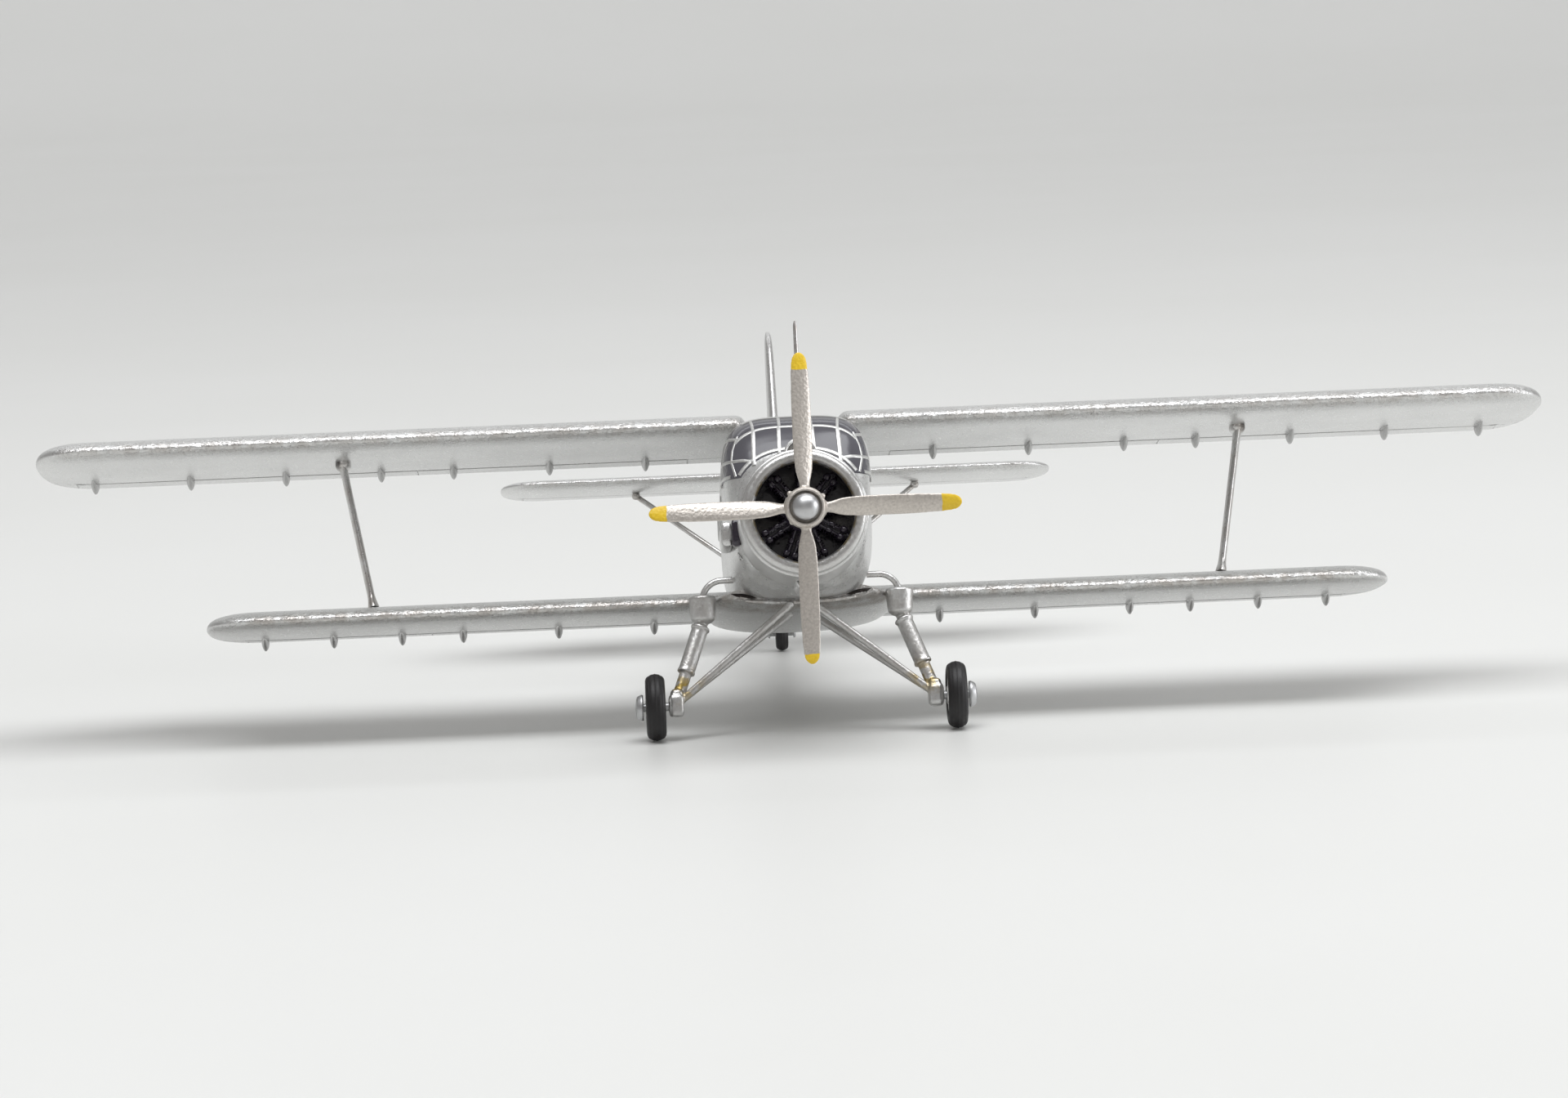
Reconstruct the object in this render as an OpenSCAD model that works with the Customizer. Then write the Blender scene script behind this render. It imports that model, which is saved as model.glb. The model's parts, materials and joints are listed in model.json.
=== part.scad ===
// Display model of a single-engined utility biplane on its wheels.
// Every piece is drawn level, with the propeller hub at the origin, the nose
// towards -Y and the port wing towards +X.  sit() then tips it onto its tail
// wheel, so that all three tyres stand on Z = 0.  Sizes are millimetres.

/* [Wings] */
// Span of the upper wing
upper_span = 90.9; // [76:1:109]
// Span of the lower wing
lower_span = 71.2; // [60:1:85]
// Chord of the upper wing
upper_chord = 12; // [10:0.5:14.4]
// Chord of the lower wing
lower_chord = 10; // [8.4:0.5:12]
// Thickness of a wing as a share of its chord
wing_thick = 0.12; // [0.1:0.01:0.15]
// Length of a rounded wing tip
tip_len = 3.6; // [2.5:0.1:5]
// Height of the upper leading edge above the thrust line
upper_z = 6.82; // [6.6:0.02:7.1]
// Depth of the lower leading edge below the thrust line
lower_z = 3.65; // [3.4:0.05:3.9]
// Nose-up angle of the upper wing
upper_incidence = 3.5; // [0:0.5:5]
// Nose-up angle of the lower wing
lower_incidence = 1.5; // [0:0.5:3]

/* [Fuselage] */
// Width of the cabin
body_w = 8.75; // [7.3:0.05:10.5]
// Height of the cabin roof above the thrust line
roof_z = 7.35; // [7.1:0.05:7.6]
// Depth of the belly below the thrust line
belly_z = 3.9; // [3.7:0.05:4.1]
// Diameter of the cowling
cowl_d = 7.5; // [6.4:0.1:8.2]
// Diameter of the cooling air opening
mouth_d = 6; // [5:0.1:6.2]
// Radius of a cabin porthole
porthole_r = 0.75; // [0.5:0.05:0.95]
// Height of the antenna mast above the roof
mast_h = 6.35; // [4:0.1:8]

/* [Propeller] */
// Diameter of the propeller
prop_d = 18; // [14:0.5:22]
// Widest part of a blade
blade_w = 1.15; // [0.8:0.05:1.4]
// Diameter of the domed pin head in front of the hub
spinner_d = 1.6; // [1.3:0.1:1.9]

/* [Tail] */
// Span of the tailplane
tail_span = 36; // [30:1:43]
// Chord of the tailplane
tail_chord = 9; // [7.5:0.5:9.5]
// Height of the fin tip above the thrust line
fin_z = 18.1; // [15:0.1:21]

/* [Undercarriage] */
// Distance between the two main wheels
track = 17.86; // [16.5:0.1:21]
// Diameter of a main tyre
tyre_d = 4; // [3.3:0.1:4.8]
// Width of a main tyre
tyre_w = 1.3; // [1:0.1:1.5]
// Diameter of the tail tyre
tail_tyre_d = 2.34; // [1.9:0.02:2.8]
// Depth of the main axle below the thrust line
axle_z = 10; // [9:0.1:11.5]

/* [Fits] */
// Radial clearance of a wheel or propeller on its pin
run_gap = 0.05; // [0.03:0.01:0.08]
// Radial clearance of a locating peg in its hole
peg_gap = 0.02; // [0.01:0.01:0.04]
// Radius of a locating peg
peg_r = 0.25; // [0.18:0.01:0.28]

/* [Hidden] */
$fn = 48;
eps = 0.01;
hw = body_w / 2;
cowl_r = cowl_d / 2;

// Stations along the fuselage, aft of the propeller
cowl_y = 1.75;
nose_y = 8.75;
screen_y = 9.9;
upper_y = 14.2;
lower_y = 15.3;
hood_end_y = upper_y - 0.2;
tail_y = 49.8;
tail_z = 7.9;
tail_tip = 3;
stern_y = 61;

// Cockpit hood: a shelf at the sill and an arched deck in front of it
sill_z = 3.1;
deck_r = cowl_r + 0.75;
hood_bulge = 1.02;

// Inside of the nose
barrel_r = cowl_r - 0.55;
spigot_r = barrel_r - 0.05;
firewall_y = 5.2;
plate_t = 0.6;
prop_t = 0.7;
prop_gap = 0.1;
pin_r = 0.3;
pin_end_y = 5;
hub_r = 1.1;

// Main undercarriage
axle_y = 13.3;
wheel_x = track / 2;
wheel_r = tyre_d / 2;
rim_r = wheel_r * 0.55;
axle_r = 0.25;
side_gap = 0.08;
foot_w = 1;
foot_r = 0.65;
foot_x = wheel_x - tyre_w / 2 - side_gap - foot_w / 2;
head_t = 0.32;
head_r = 0.78;
head_x = wheel_x + tyre_w / 2 + side_gap;
knuckle_x = hw + 1.5;
knuckle_y = 14.6;
knuckle_r = 0.82;
knuckle_top = -3.35;
knuckle_low = -5;
pipe_r = 0.19;
pipe_bend = 1.2;
pipe_z = knuckle_top + 0.85;
rod_r = 0.19;
rod_x = 0.75;
rod_front_y = 13;
rod_rear_y = 17.2;
rod_peg = 0.8;
front_low = -belly_z - 0.42;
rear_low = -belly_z - 1.05;

// Tail wheel
tail_axle_y = 54.4;
tail_axle_z = -2.06;
tail_r = tail_tyre_d / 2;
tail_w = 0.8;
tail_rim_r = tail_r * 0.5;
tail_pin_r = 0.2;
fork_gap = 0.12;
fork_t = 0.24;
fork_x = tail_w / 2 + fork_gap;
leg_r = 0.42;

// Struts and braces
strut_top = [27.15, 19.6];
strut_low = [25.5, 18.6];
strut_w = 0.45;
strut_len = 1.5;
brace_x = 9.15;
brace_y = 54;
brace_low = [50.5, 1.35];
brace_r = 0.17;
mast_x = 0.6;
mast_y = 20.5;

// Stance: the ground line touches the main tyres and the tail tyre
wheelbase_y = tail_axle_y - axle_y;
wheelbase_z = tail_axle_z + axle_z;
base_len = norm([wheelbase_y, wheelbase_z]);
ground_angle = atan2(wheelbase_z, wheelbase_y) - asin((tail_r - wheel_r) / base_len);
hub_z = wheel_r + axle_z * cos(ground_angle) + axle_y * sin(ground_angle);

// ---- Shapes shared by several pieces ----

// Faces that join rings of m points each, with both ends closed
function skin(rings, m) = concat(
  [[for (j = [m - 1:-1:0]) j]],
  [for (i = [0:rings - 2], j = [0:m - 1], half = [0, 1])
    let (a = i * m + j, b = i * m + (j + 1) % m)
    half == 0 ? [a, b, b + m] : [a, b + m, a + m]],
  [[for (j = [0:m - 1]) (rings - 1) * m + j]]
);

module loft(rings) {
  points = [for (ring = rings, p = ring) p];
  polyhedron(points, skin(len(rings), len(rings[0])));
}

// Half thickness of a wing section of unit chord, with a blunt trailing edge
function half_thick(x, t, blunt) = 5 * t * (0.2969 * sqrt(x) - 0.126 * x - 0.3516 * x * x
  + 0.2843 * pow(x, 3) - 0.1036 * pow(x, 4)) + blunt * x / 2;

// Height of the mean line of a section of unit chord, highest at 40 percent
function mean_line(x, camber) = x < 0.4
  ? camber * (0.8 * x - x * x) / 0.16
  : camber * (0.2 + 0.8 * x - x * x) / 0.36;

// A wing section as [share of chord, height], over the top and back underneath
function section(t, camber, blunt, n = 12) = concat(
  [for (k = [0:n]) let (x = (1 - cos(180 * k / n)) / 2)
    [x, mean_line(x, camber) + half_thick(x, t, blunt)]],
  [for (k = [n:-1:1]) let (x = (1 - cos(180 * k / n)) / 2)
    [x, mean_line(x, camber) - half_thick(x, t, blunt)]]
);

// One section set at station x, shrunk by k about 45 percent of its chord
function wing_ring(shape, x, chord, y, z, angle, k) = [for (p = shape)
  let (u = 0.45 + (p[0] - 0.45) * k, v = p[1] * k)
  [x, y + chord * (u * cos(angle) + v * sin(angle)), z + chord * (v * cos(angle) - u * sin(angle))]];

// Chord left at a distance s past the start of a rounded tip of length l
function tip_scale(s, l) = s <= 0 ? 1 : pow(1 - pow(min(s / l, 1), 2.6), 1 / 2.6);

// Stations of a half wing, closer together round the tip
function tip_stations(half, l, n = 7) = [for (i = [0:n]) half - l + l * sin(88 * i / n)];

function half_wing(shape, root, half, l, chord, y, z, angle) = [
  for (x = concat([root], tip_stations(half, l)))
    wing_ring(shape, x, chord, y, z, angle, tip_scale(x - half + l, l))];

wing_shape = section(wing_thick, 0.025, 0.02);
tail_shape = section(0.085, 0, 0.02);

function upper_under(y) = upper_z - (y - upper_y) * tan(upper_incidence) - upper_chord * 0.03;
function lower_over(y) = -lower_z - (y - lower_y) * tan(lower_incidence) + lower_chord * 0.085;

// A straight length of wing, for trimming what meets it
module wing_block(chord, y, z, angle, reach) {
  loft([for (x = [-reach, reach]) wing_ring(wing_shape, x, chord, y, z, angle, 1)]);
}
module upper_block() {
  wing_block(upper_chord, upper_y, upper_z, upper_incidence, upper_span / 2 - tip_len);
}
module lower_block() {
  wing_block(lower_chord, lower_y, -lower_z, lower_incidence, lower_span / 2 - tip_len);
}

// Both ends of a rod, in any direction
module rod(a, b, r) {
  d = b - a;
  translate(a)
    rotate([0, acos(d[2] / norm(d)), atan2(d[1], d[0])])
      cylinder(h = norm(d), r = r);
}

module along_x(x, y, z, length, r) {
  translate([x, y, z]) rotate([0, 90, 0]) cylinder(h = length, r = r);
}

module along_y(x, y, z, length, r) {
  translate([x, y, z]) rotate([-90, 0, 0]) cylinder(h = length, r = r);
}

module along_z(x, y, z, length, r) {
  translate([x, y, z]) cylinder(h = length, r = r);
}

// A profile of [radius, distance] turned about the Y axis
module turned_y(x, y, z) {
  translate([x, y, z]) rotate([-90, 0, 0]) rotate_extrude() children();
}

module turned_x(x, y, z) {
  translate([x, y, z]) rotate([0, 90, 0]) rotate_extrude() children();
}

// The port piece for side 1, and its starboard twin for side -1
module on_side(side) {
  mirror([side < 0 ? 1 : 0, 0, 0]) children();
}

// ---- Fuselage ----

// Each row: station, top, bottom, half width, squareness above and below
body_rows = [
  [nose_y, cowl_r - 0.1, 0.1 - cowl_r, cowl_r - 0.1, 2, 2],
  [nose_y + 0.6, cowl_r + 0.3, -cowl_r, (cowl_r + hw) / 2 - 0.1, 2.1, 2.2],
  [screen_y, deck_r, -belly_z + 0.05, hw - 0.38, 2.4, 2.6],
  [screen_y + 0.6, roof_z - 2.1, -belly_z + 0.03, hw - 0.28, 2.9, 3],
  [screen_y + 1.3, roof_z - 1.35, -belly_z, hw - 0.16, 3.5, 3.4],
  [screen_y + 2.1, roof_z - 0.8, -belly_z, hw - 0.07, 3.9, 3.7],
  [screen_y + 3.1, roof_z - 0.47, -belly_z, hw - 0.02, 4.1, 3.9],
  [upper_y, roof_z - 0.3, -belly_z, hw, 4.1, 4],
  [upper_y + 1.8, roof_z - 0.08, -belly_z, hw, 4.1, 4],
  [upper_y + 4.3, roof_z, -belly_z, hw, 4.1, 4],
  [upper_y + 8, roof_z - 0.12, -belly_z, hw, 4, 4],
  [26.5, roof_z - 0.5, -belly_z, hw - 0.02, 3.9, 3.9],
  [30, roof_z - 0.6, -belly_z + 0.3, hw - 0.12, 3.7, 3.6],
  [34, roof_z - 0.65, -belly_z + 1, hw - 0.5, 3.4, 3.3],
  [38, roof_z - 0.7, -belly_z + 1.95, hw - 1.02, 3.1, 3],
  [42, roof_z - 0.74, -belly_z + 2.85, hw - 1.58, 2.8, 2.8],
  [46, roof_z - 0.8, -belly_z + 3.7, hw - 2.15, 2.6, 2.6],
  [50, roof_z - 0.86, -belly_z + 4.5, hw - 2.65, 2.4, 2.4],
  [54, roof_z - 1, -belly_z + 5.3, hw - 3.12, 2.3, 2.3],
  [58, roof_z - 1.4, -belly_z + 6.2, hw - 3.55, 2.2, 2.2],
  [stern_y, roof_z - 2.2, -belly_z + 7.2, hw - 3.9, 2, 2]
];

// A ring of n points on a squared ellipse with its own height above and below
function body_ring(row, wide = 1, n = 36) =
  let (mid = (row[1] + row[2]) / 2, w = row[3] * wide, h = (row[1] - row[2]) / 2)
  [for (k = [0:n - 1])
    let (a = 360 * (k + 0.5) / n, e = sin(a) > 0 ? row[4] : row[5],
      r = pow(pow(abs(cos(a)) / w, e) + pow(abs(sin(a)) / h, e), -1 / e))
    [r * cos(a), row[0], mid + r * sin(a)]];

module body_shape(wide = 1) {
  loft([for (row = body_rows) body_ring(row, wide)]);
}

// Each row of the fin: height, leading edge, trailing edge, thickness
fin_rows = [
  [4, 57, 61.3, 0.5],
  [6, 46.5, 61.6, 1.2],
  [tail_z - 0.15, 48, 61.8, 1.3],
  [9, 48.9, 61.85, 0.85],
  [fin_z * 0.58, 49.7, 61.8, 0.62],
  [fin_z * 0.78, 51.4, 61.3, 0.55],
  [fin_z * 0.9, 52.8, 60.6, 0.5],
  [fin_z * 0.96, 53.9, 59.9, 0.42],
  [fin_z * 0.985, 54.8, 59.1, 0.32],
  [fin_z, 56, 58, 0.18]
];

function fin_ring(row) = let (shape = section(row[3] / (row[2] - row[1]), 0, 0.01, 9))
  [for (p = shape) [-p[1] * (row[2] - row[1]), row[1] + p[0] * (row[2] - row[1]), row[0]]];

module fin_shape() {
  loft([for (row = fin_rows) fin_ring(row)]);
}

// Space taken by the cockpit hood
module hood_space() {
  difference() {
    translate([-body_w, screen_y - 1, sill_z])
      cube([2 * body_w, hood_end_y - screen_y + 1, roof_z]);
    along_y(0, 0, 0, nose_y * 2, deck_r);
  }
}

spar_y = upper_y + upper_chord * 0.4;
spar_z = upper_z - upper_chord * 0.4 * tan(upper_incidence) + upper_chord * 0.02;
spar_r = 0.4;
spar_in = hw - 1.5;
porthole_t = 0.3;
porthole_z = 2.3;
porthole_step = 3.3;
window_x = hw - 0.08;

// Portholes along one side, at a depth measured from the skin
module porthole_row(x, length, r) {
  for (i = [0:3]) along_x(x, 19.5 + porthole_step * i, porthole_z, length, r);
}

// Holes in one side of the fuselage for the pegs of other pieces
module side_sockets() {
  along_x(spar_in, spar_y, spar_z, hw, spar_r + peg_gap);
  along_x(hw - 0.7, knuckle_y, pipe_z, 2, pipe_r + peg_gap);
  along_x(0.5, brace_low[0], brace_low[1], 3, brace_r + peg_gap);
  along_z(rod_x, rod_front_y, front_low, rod_peg + 0.1, rod_r + peg_gap);
  porthole_row(window_x - porthole_t, 3, porthole_r);
}

module fuselage() {
  color("silver") difference() {
    union() {
      body_shape();
      fin_shape();
      along_y(0, firewall_y, 0, nose_y - firewall_y + 0.5, spigot_r);
    }
    hood_space();
    translate([1.4 - hw, 18, -belly_z - 1]) cube([body_w - 2.8, 11, belly_z + 4.5]);
    for (side = [-1, 1]) on_side(side) side_sockets();
    along_z(mast_x, mast_y, roof_z - 1, 3, 0.15 + peg_gap);
    along_y(0, firewall_y - 1, 0, 2.2, 1.2);
  }
}

module cockpit_hood() {
  color("dimgray") intersection() {
    body_shape(hood_bulge);
    hood_space();
  }
}

module portholes() {
  color("dimgray") porthole_row(window_x - porthole_t, porthole_t, porthole_r);
}

// ---- Nose ----

module cowling() {
  roll = cowl_r - 0.15 - mouth_d / 2;
  color("silver") turned_y(0, cowl_y, 0) union() {
    translate([mouth_d / 2 + roll / 2, roll / 2]) circle(d = roll);
    difference() {
      translate([mouth_d / 2, roll / 2]) square([cowl_r - mouth_d / 2, nose_y - cowl_y - roll / 2]);
      translate([0, 1]) square([barrel_r, nose_y]);
      translate([cowl_r - 0.15, 0]) square([1, 0.75]);
      translate([cowl_r - 0.08, nose_y - cowl_y - 0.9]) square([1, 0.12]);
    }
  }
}

cylinder_y = 3.5;
fin_r = 0.4;
fin_pitch = 0.28;

// One finned cylinder of the engine, with its rocker box and two pushrods
module engine_cylinder() {
  translate([0, cylinder_y, 0]) rotate_extrude()
    polygon(concat([[0, 0.6], [fin_r - 0.1, 0.6]],
      [for (i = [0:4], step = [[-0.1, 0], [0, 0], [0, 0.5], [-0.1, 0.5]])
        [fin_r + step[0], 1.3 + fin_pitch * (i + step[1])]],
      [[fin_r - 0.1, 2.8], [0.2, 2.95], [0, 2.95]]));
  translate([-0.28, cylinder_y - 0.62, 2.5]) cube([0.56, 0.7, 0.32]);
  for (side = [-1, 1]) rod([side * 0.17, 2.7, 0.85], [side * 0.17, 3.05, 2.65], 0.08);
}

module engine() {
  color("black") difference() {
    union() {
      along_y(0, firewall_y - plate_t, 0, plate_t, barrel_r - 0.03);
      turned_y(0, 0, 0) polygon([[0, prop_t / 2 + prop_gap], [0.5, prop_t / 2 + prop_gap],
        [0.62, 0.9], [0.75, 1.9], [1.15, 2.4], [1.15, firewall_y], [0, firewall_y]]);
      for (k = [0:8]) rotate([0, 40 * k, 0]) engine_cylinder();
    }
    along_y(0, 0, 0, pin_end_y, pin_r);
  }
}

module arch(w, h) {
  translate([-w / 2, 0]) square([w, h - w / 2]);
  translate([0, h - w / 2]) circle(d = w);
}

scoop_y = 4.4;
scoop_w = 1.9;
scoop_top = cowl_r + 0.88;

module carburettor_scoop() {
  color("silver") difference() {
    translate([0, nose_y, 0]) rotate([90, 0, 0]) linear_extrude(nose_y - scoop_y)
      arch(scoop_w, scoop_top);
    translate([0, scoop_y + 1.2, 0]) rotate([90, 0, 0]) linear_extrude(2)
      arch(scoop_w - 0.4, scoop_top - 0.22);
    along_y(0, 0, 0, 12, cowl_r);
  }
}

module oil_cooler() {
  color("silver") difference() {
    along_y(0, 4.4, 0.1 - cowl_r, nose_y - 4.4 - 0.1, 0.62);
    along_y(0, 4, 0.1 - cowl_r, 1.2, 0.46);
    along_y(0, 0, 0, 12, cowl_r);
  }
}

exhaust_x = -(hw + 0.02);
exhaust_z = -0.45;
exhaust_r = 0.38;

module exhaust_outline(r) {
  for (s = [-1, 1]) translate([0, s * 0.36]) circle(r);
  square([2 * r, 0.72], center = true);
}

module exhaust_pipe() {
  color("silver") difference() {
    translate([exhaust_x, 12.5, exhaust_z]) rotate([90, 0, 0]) linear_extrude(4.5)
      exhaust_outline(exhaust_r);
    translate([exhaust_x, 13, exhaust_z]) rotate([90, 0, 0]) linear_extrude(1.5)
      exhaust_outline(exhaust_r - 0.12);
    body_shape();
    along_y(0, 0, 0, nose_y, cowl_r);
  }
}

// Each row of a blade: share of the radius, share of the full width, thickness
blade_rows = [
  [0.06, 0.5, 0.5], [0.12, 0.52, 0.42], [0.2, 0.78, 0.34], [0.3, 0.95, 0.3], [0.42, 1, 0.28],
  [0.6, 0.9, 0.26], [0.78, 0.76, 0.24], [0.9, 0.66, 0.22], [0.96, 0.56, 0.2], [0.985, 0.4, 0.16],
  [1, 0.16, 0.1]
];

// Blades lean less towards the tip, as a screw of fixed pitch does
function blade_angle(share) = 28 - 16 * share;

function blade_ring(row, n = 12) = let (a = blade_angle(row[0]), w = blade_w * row[1] / cos(a))
  [for (k = [0:n - 1])
    let (u = cos(-360 * k / n) * w / 2, v = sin(-360 * k / n) * row[2] / 2)
    [u * cos(a) - v * sin(a), u * sin(a) + v * cos(a), row[0] * prop_d / 2]];

module propeller() {
  color("lightgray") difference() {
    union() {
      for (k = [0:3]) rotate([0, 90 * k, 0]) loft([for (row = blade_rows) blade_ring(row)]);
      along_y(0, -prop_t / 2, 0, prop_t, hub_r);
    }
    along_y(0, -2, 0, 4, pin_r + run_gap);
  }
}

module propeller_pin() {
  face = prop_t / 2 + prop_gap;
  dome = 0.75;
  bulge = (spinner_d * spinner_d / 4 + dome * dome) / (2 * dome);
  color("gainsboro") {
    along_y(0, -face - eps, 0, pin_end_y + face + eps, pin_r);
    intersection() {
      translate([0, bulge - face - dome, 0]) rotate([90, 0, 0]) sphere(bulge);
      along_y(0, -face - dome - 1, 0, dome + 1, spinner_d / 2);
    }
  }
}

// ---- Wings ----

// Hinge fairings under a wing: flap hinges, then aileron hinges
function hinge_row(flap_in, aileron_in, step, flaps, outer, ailerons) = concat(
  [for (i = [0:flaps - 1]) flap_in + i * (aileron_in - step - flap_in) / (flaps - 1)],
  [for (i = [0:ailerons - 1]) aileron_in + i * (outer - aileron_in) / (ailerons - 1)]);

upper_hinges = hinge_row(8.8, 24.9, 4.4, 3, upper_span / 2 - tip_len + 0.45, 4);
lower_hinges = hinge_row(8.7, 24, 3.7, 3, lower_span / 2 - tip_len + 0.3, 3);

// A slim drop, deeper than it is wide, hanging under the hinge line
module hinge_fairing(x, y, z) {
  rows = [for (i = [0:6]) let (s = sin(180 * (i + 0.35) / 6.7)) [y + 0.33 * i, 0.23 * s, 0.44 * s]];
  loft([for (r = rows) [for (k = [0:9])
    [x + r[1] * cos(36 * k), r[0], z + r[2] * sin(36 * k)]]]);
}

module fairings(xs, chord, y, z, angle) {
  hinge_y = y + chord * 0.8;
  for (x = xs) hinge_fairing(x, hinge_y, z - chord * 0.84 * tan(angle) - 0.27);
}

module upper_wing(side) {
  color("silver") {
    difference() {
      on_side(side) difference() {
        union() {
          loft(half_wing(wing_shape, hw - 1.75, upper_span / 2, tip_len,
            upper_chord, upper_y, upper_z, upper_incidence));
          fairings(upper_hinges, upper_chord, upper_y, upper_z, upper_incidence);
        }
        along_z(strut_top[0], strut_top[1], upper_z - 3, 3, peg_r + peg_gap);
      }
      body_shape();
    }
    on_side(side) along_x(spar_in + 0.3, spar_y, spar_z, 2.4, spar_r);
  }
}

// Belly pan rows: station, depth of the keel, half width
pan_rows = [
  [13.5, 0.15, hw - 0.6], [14.4, 0.4, hw - 0.3], [16.5, 0.62, hw - 0.05], [20, 0.75, hw],
  [25, 0.78, hw], [28, 0.62, hw - 0.2], [30, 0.4, hw - 0.5]
];

function pan_ring(row) = body_ring([row[0], -belly_z + 0.9, -belly_z - row[1], row[2], 2.4, 2.4], 1, 24);

module lower_wing() {
  half = half_wing(wing_shape, 0, lower_span / 2, tip_len,
    lower_chord, lower_y, -lower_z, lower_incidence);
  color("silver") difference() {
    union() {
      loft([for (row = pan_rows) pan_ring(row)]);
      for (side = [-1, 1]) on_side(side) {
        loft(half);
        fairings(lower_hinges, lower_chord, lower_y, -lower_z, lower_incidence);
      }
    }
    body_shape();
    for (s = [-1, 1]) {
      along_z(s * strut_low[0], strut_low[1], -lower_z - 0.1, 3, peg_r + peg_gap);
      along_z(s * rod_x, rod_rear_y, rear_low, rod_peg + 0.1, rod_r + peg_gap);
    }
  }
}

module strut_outline(w, l) {
  polygon([for (k = [0:23]) [w / 2 * cos(15 * k), l / 2 * sin(15 * k)]]);
}

module interplane_strut() {
  top = [strut_top[0], strut_top[1], upper_z + 1];
  low = [strut_low[0], strut_low[1], -lower_z - 1];
  lean = top - low;
  color("silver") {
    difference() {
      union() {
        translate(low) multmatrix([[1, 0, lean[0] / lean[2]], [0, 1, lean[1] / lean[2]], [0, 0, 1]])
          linear_extrude(lean[2]) strut_outline(strut_w, strut_len);
        translate([strut_top[0] - 0.1, strut_top[1], upper_under(strut_top[1]) - 0.35])
          linear_extrude(1) strut_outline(1, strut_len + 0.4);
      }
      upper_block();
      lower_block();
      translate([0, 0, upper_under(strut_top[1]) + 0.3]) linear_extrude(9) square(99, center = true);
      translate([0, 0, -lower_z - 9]) linear_extrude(9) square(99, center = true);
    }
    along_z(strut_top[0], strut_top[1], upper_under(strut_top[1]) - 0.2, 0.5, peg_r);
    along_z(strut_low[0], strut_low[1], lower_over(strut_low[1]) - 0.4, 0.6, peg_r);
  }
}

// ---- Tail ----

module tailplane(side) {
  color("silver") difference() {
    on_side(side) difference() {
      loft(half_wing(tail_shape, 0.2, tail_span / 2, tail_tip, tail_chord, tail_y, tail_z, 0));
      along_z(brace_x, brace_y, tail_z - 2, 2, brace_r + peg_gap);
    }
    fin_shape();
  }
}

module tail_brace() {
  top = [brace_x, brace_y, tail_z - tail_chord * 0.0425 - 0.25];
  low = [hw - 2.5, brace_low[0], brace_low[1]];
  color("silver") {
    rod(low, top, brace_r);
    translate(top) sphere(brace_r + 0.06);
    translate(low) sphere(brace_r + 0.04);
    along_z(top[0], top[1], top[2], 0.45, brace_r);
    along_x(0.6, low[1], low[2], low[0] - 0.6, brace_r);
  }
}

module antenna_mast() {
  color("silver") {
    along_z(mast_x, mast_y, roof_z - 0.9, 1, 0.15);
    translate([mast_x, mast_y, roof_z + 0.05]) cylinder(h = mast_h, r1 = 0.15, r2 = 0.09);
  }
}

// ---- Undercarriage ----

module main_gear() {
  hip = [knuckle_x, knuckle_y, knuckle_low + 0.2];
  foot = [foot_x, axle_y, -axle_z + 0.25];
  front = [rod_x, rod_front_y, front_low];
  rear = [rod_x, rod_rear_y, rear_low];
  step = hip + (foot - hip) * 0.66;
  color("silver") difference() {
    union() {
      translate([knuckle_x, knuckle_y, knuckle_low]) rotate_extrude()
        polygon([[0, -0.1], [0.5, -0.1], [knuckle_r, 0.25], [knuckle_r, knuckle_top - knuckle_low - 0.15],
          [knuckle_r - 0.15, knuckle_top - knuckle_low], [0, knuckle_top - knuckle_low]]);
      rod(hip, step, 0.43);
      rod(hip, foot, 0.3);
      along_x(foot_x - foot_w / 2, axle_y, -axle_z, foot_w, foot_r);
      translate([foot_x - foot_w / 2, axle_y - 0.5, -axle_z]) cube([foot_w, 1, 0.72]);
      for (end = [front, rear]) {
        rod(foot + [-0.2, (end[1] - front[1]) * 0.06 - 0.15, 0], end, rod_r);
        translate(end) sphere(rod_r + 0.07);
        along_z(end[0], end[1], end[2], rod_peg, rod_r);
      }
    }
    lower_block();
    along_x(foot_x - foot_w / 2 + 0.15, axle_y, -axle_z, 3, axle_r);
  }
}

module gear_brace() {
  bend_x = knuckle_x - pipe_bend;
  color("silver") difference() {
    union() {
      along_x(hw - 0.6, knuckle_y, pipe_z, bend_x - hw + 0.6, pipe_r);
      translate([bend_x, knuckle_y, pipe_z - pipe_bend]) rotate([90, 0, 0])
        rotate_extrude(angle = 90) translate([pipe_bend, 0]) circle(pipe_r);
    }
    translate([0, 0, knuckle_top - 5]) linear_extrude(5) square(99, center = true);
  }
}

// A tyre with a rounded tread and a faint seam round its middle
module tyre_profile(r, w, rim) {
  crown = min(w / 2, (r - rim) / 2);
  difference() {
    union() {
      for (s = [-1, 1]) translate([r - crown, s * (w / 2 - crown)]) circle(crown);
      translate([rim, -w * 0.4]) square([r - crown - rim, w * 0.8]);
      translate([r - crown, crown - w / 2]) square([crown, w - 2 * crown]);
    }
    translate([0, -w]) square([rim, 2 * w]);
  }
}

module main_tyre() {
  color("black") turned_x(wheel_x, axle_y, -axle_z) tyre_profile(wheel_r, tyre_w, rim_r);
}

module main_hub() {
  color("silver") turned_x(wheel_x, axle_y, -axle_z) difference() {
    union() {
      translate([0, -tyre_w * 0.4]) square([rim_r, tyre_w * 0.8]);
      translate([0, -tyre_w / 2]) square([0.55, tyre_w]);
    }
    for (s = [-1, 1]) translate([rim_r * 0.7, s * tyre_w * 0.42]) circle(0.18);
    translate([0, -tyre_w]) square([axle_r + run_gap, 2 * tyre_w]);
  }
}

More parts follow.
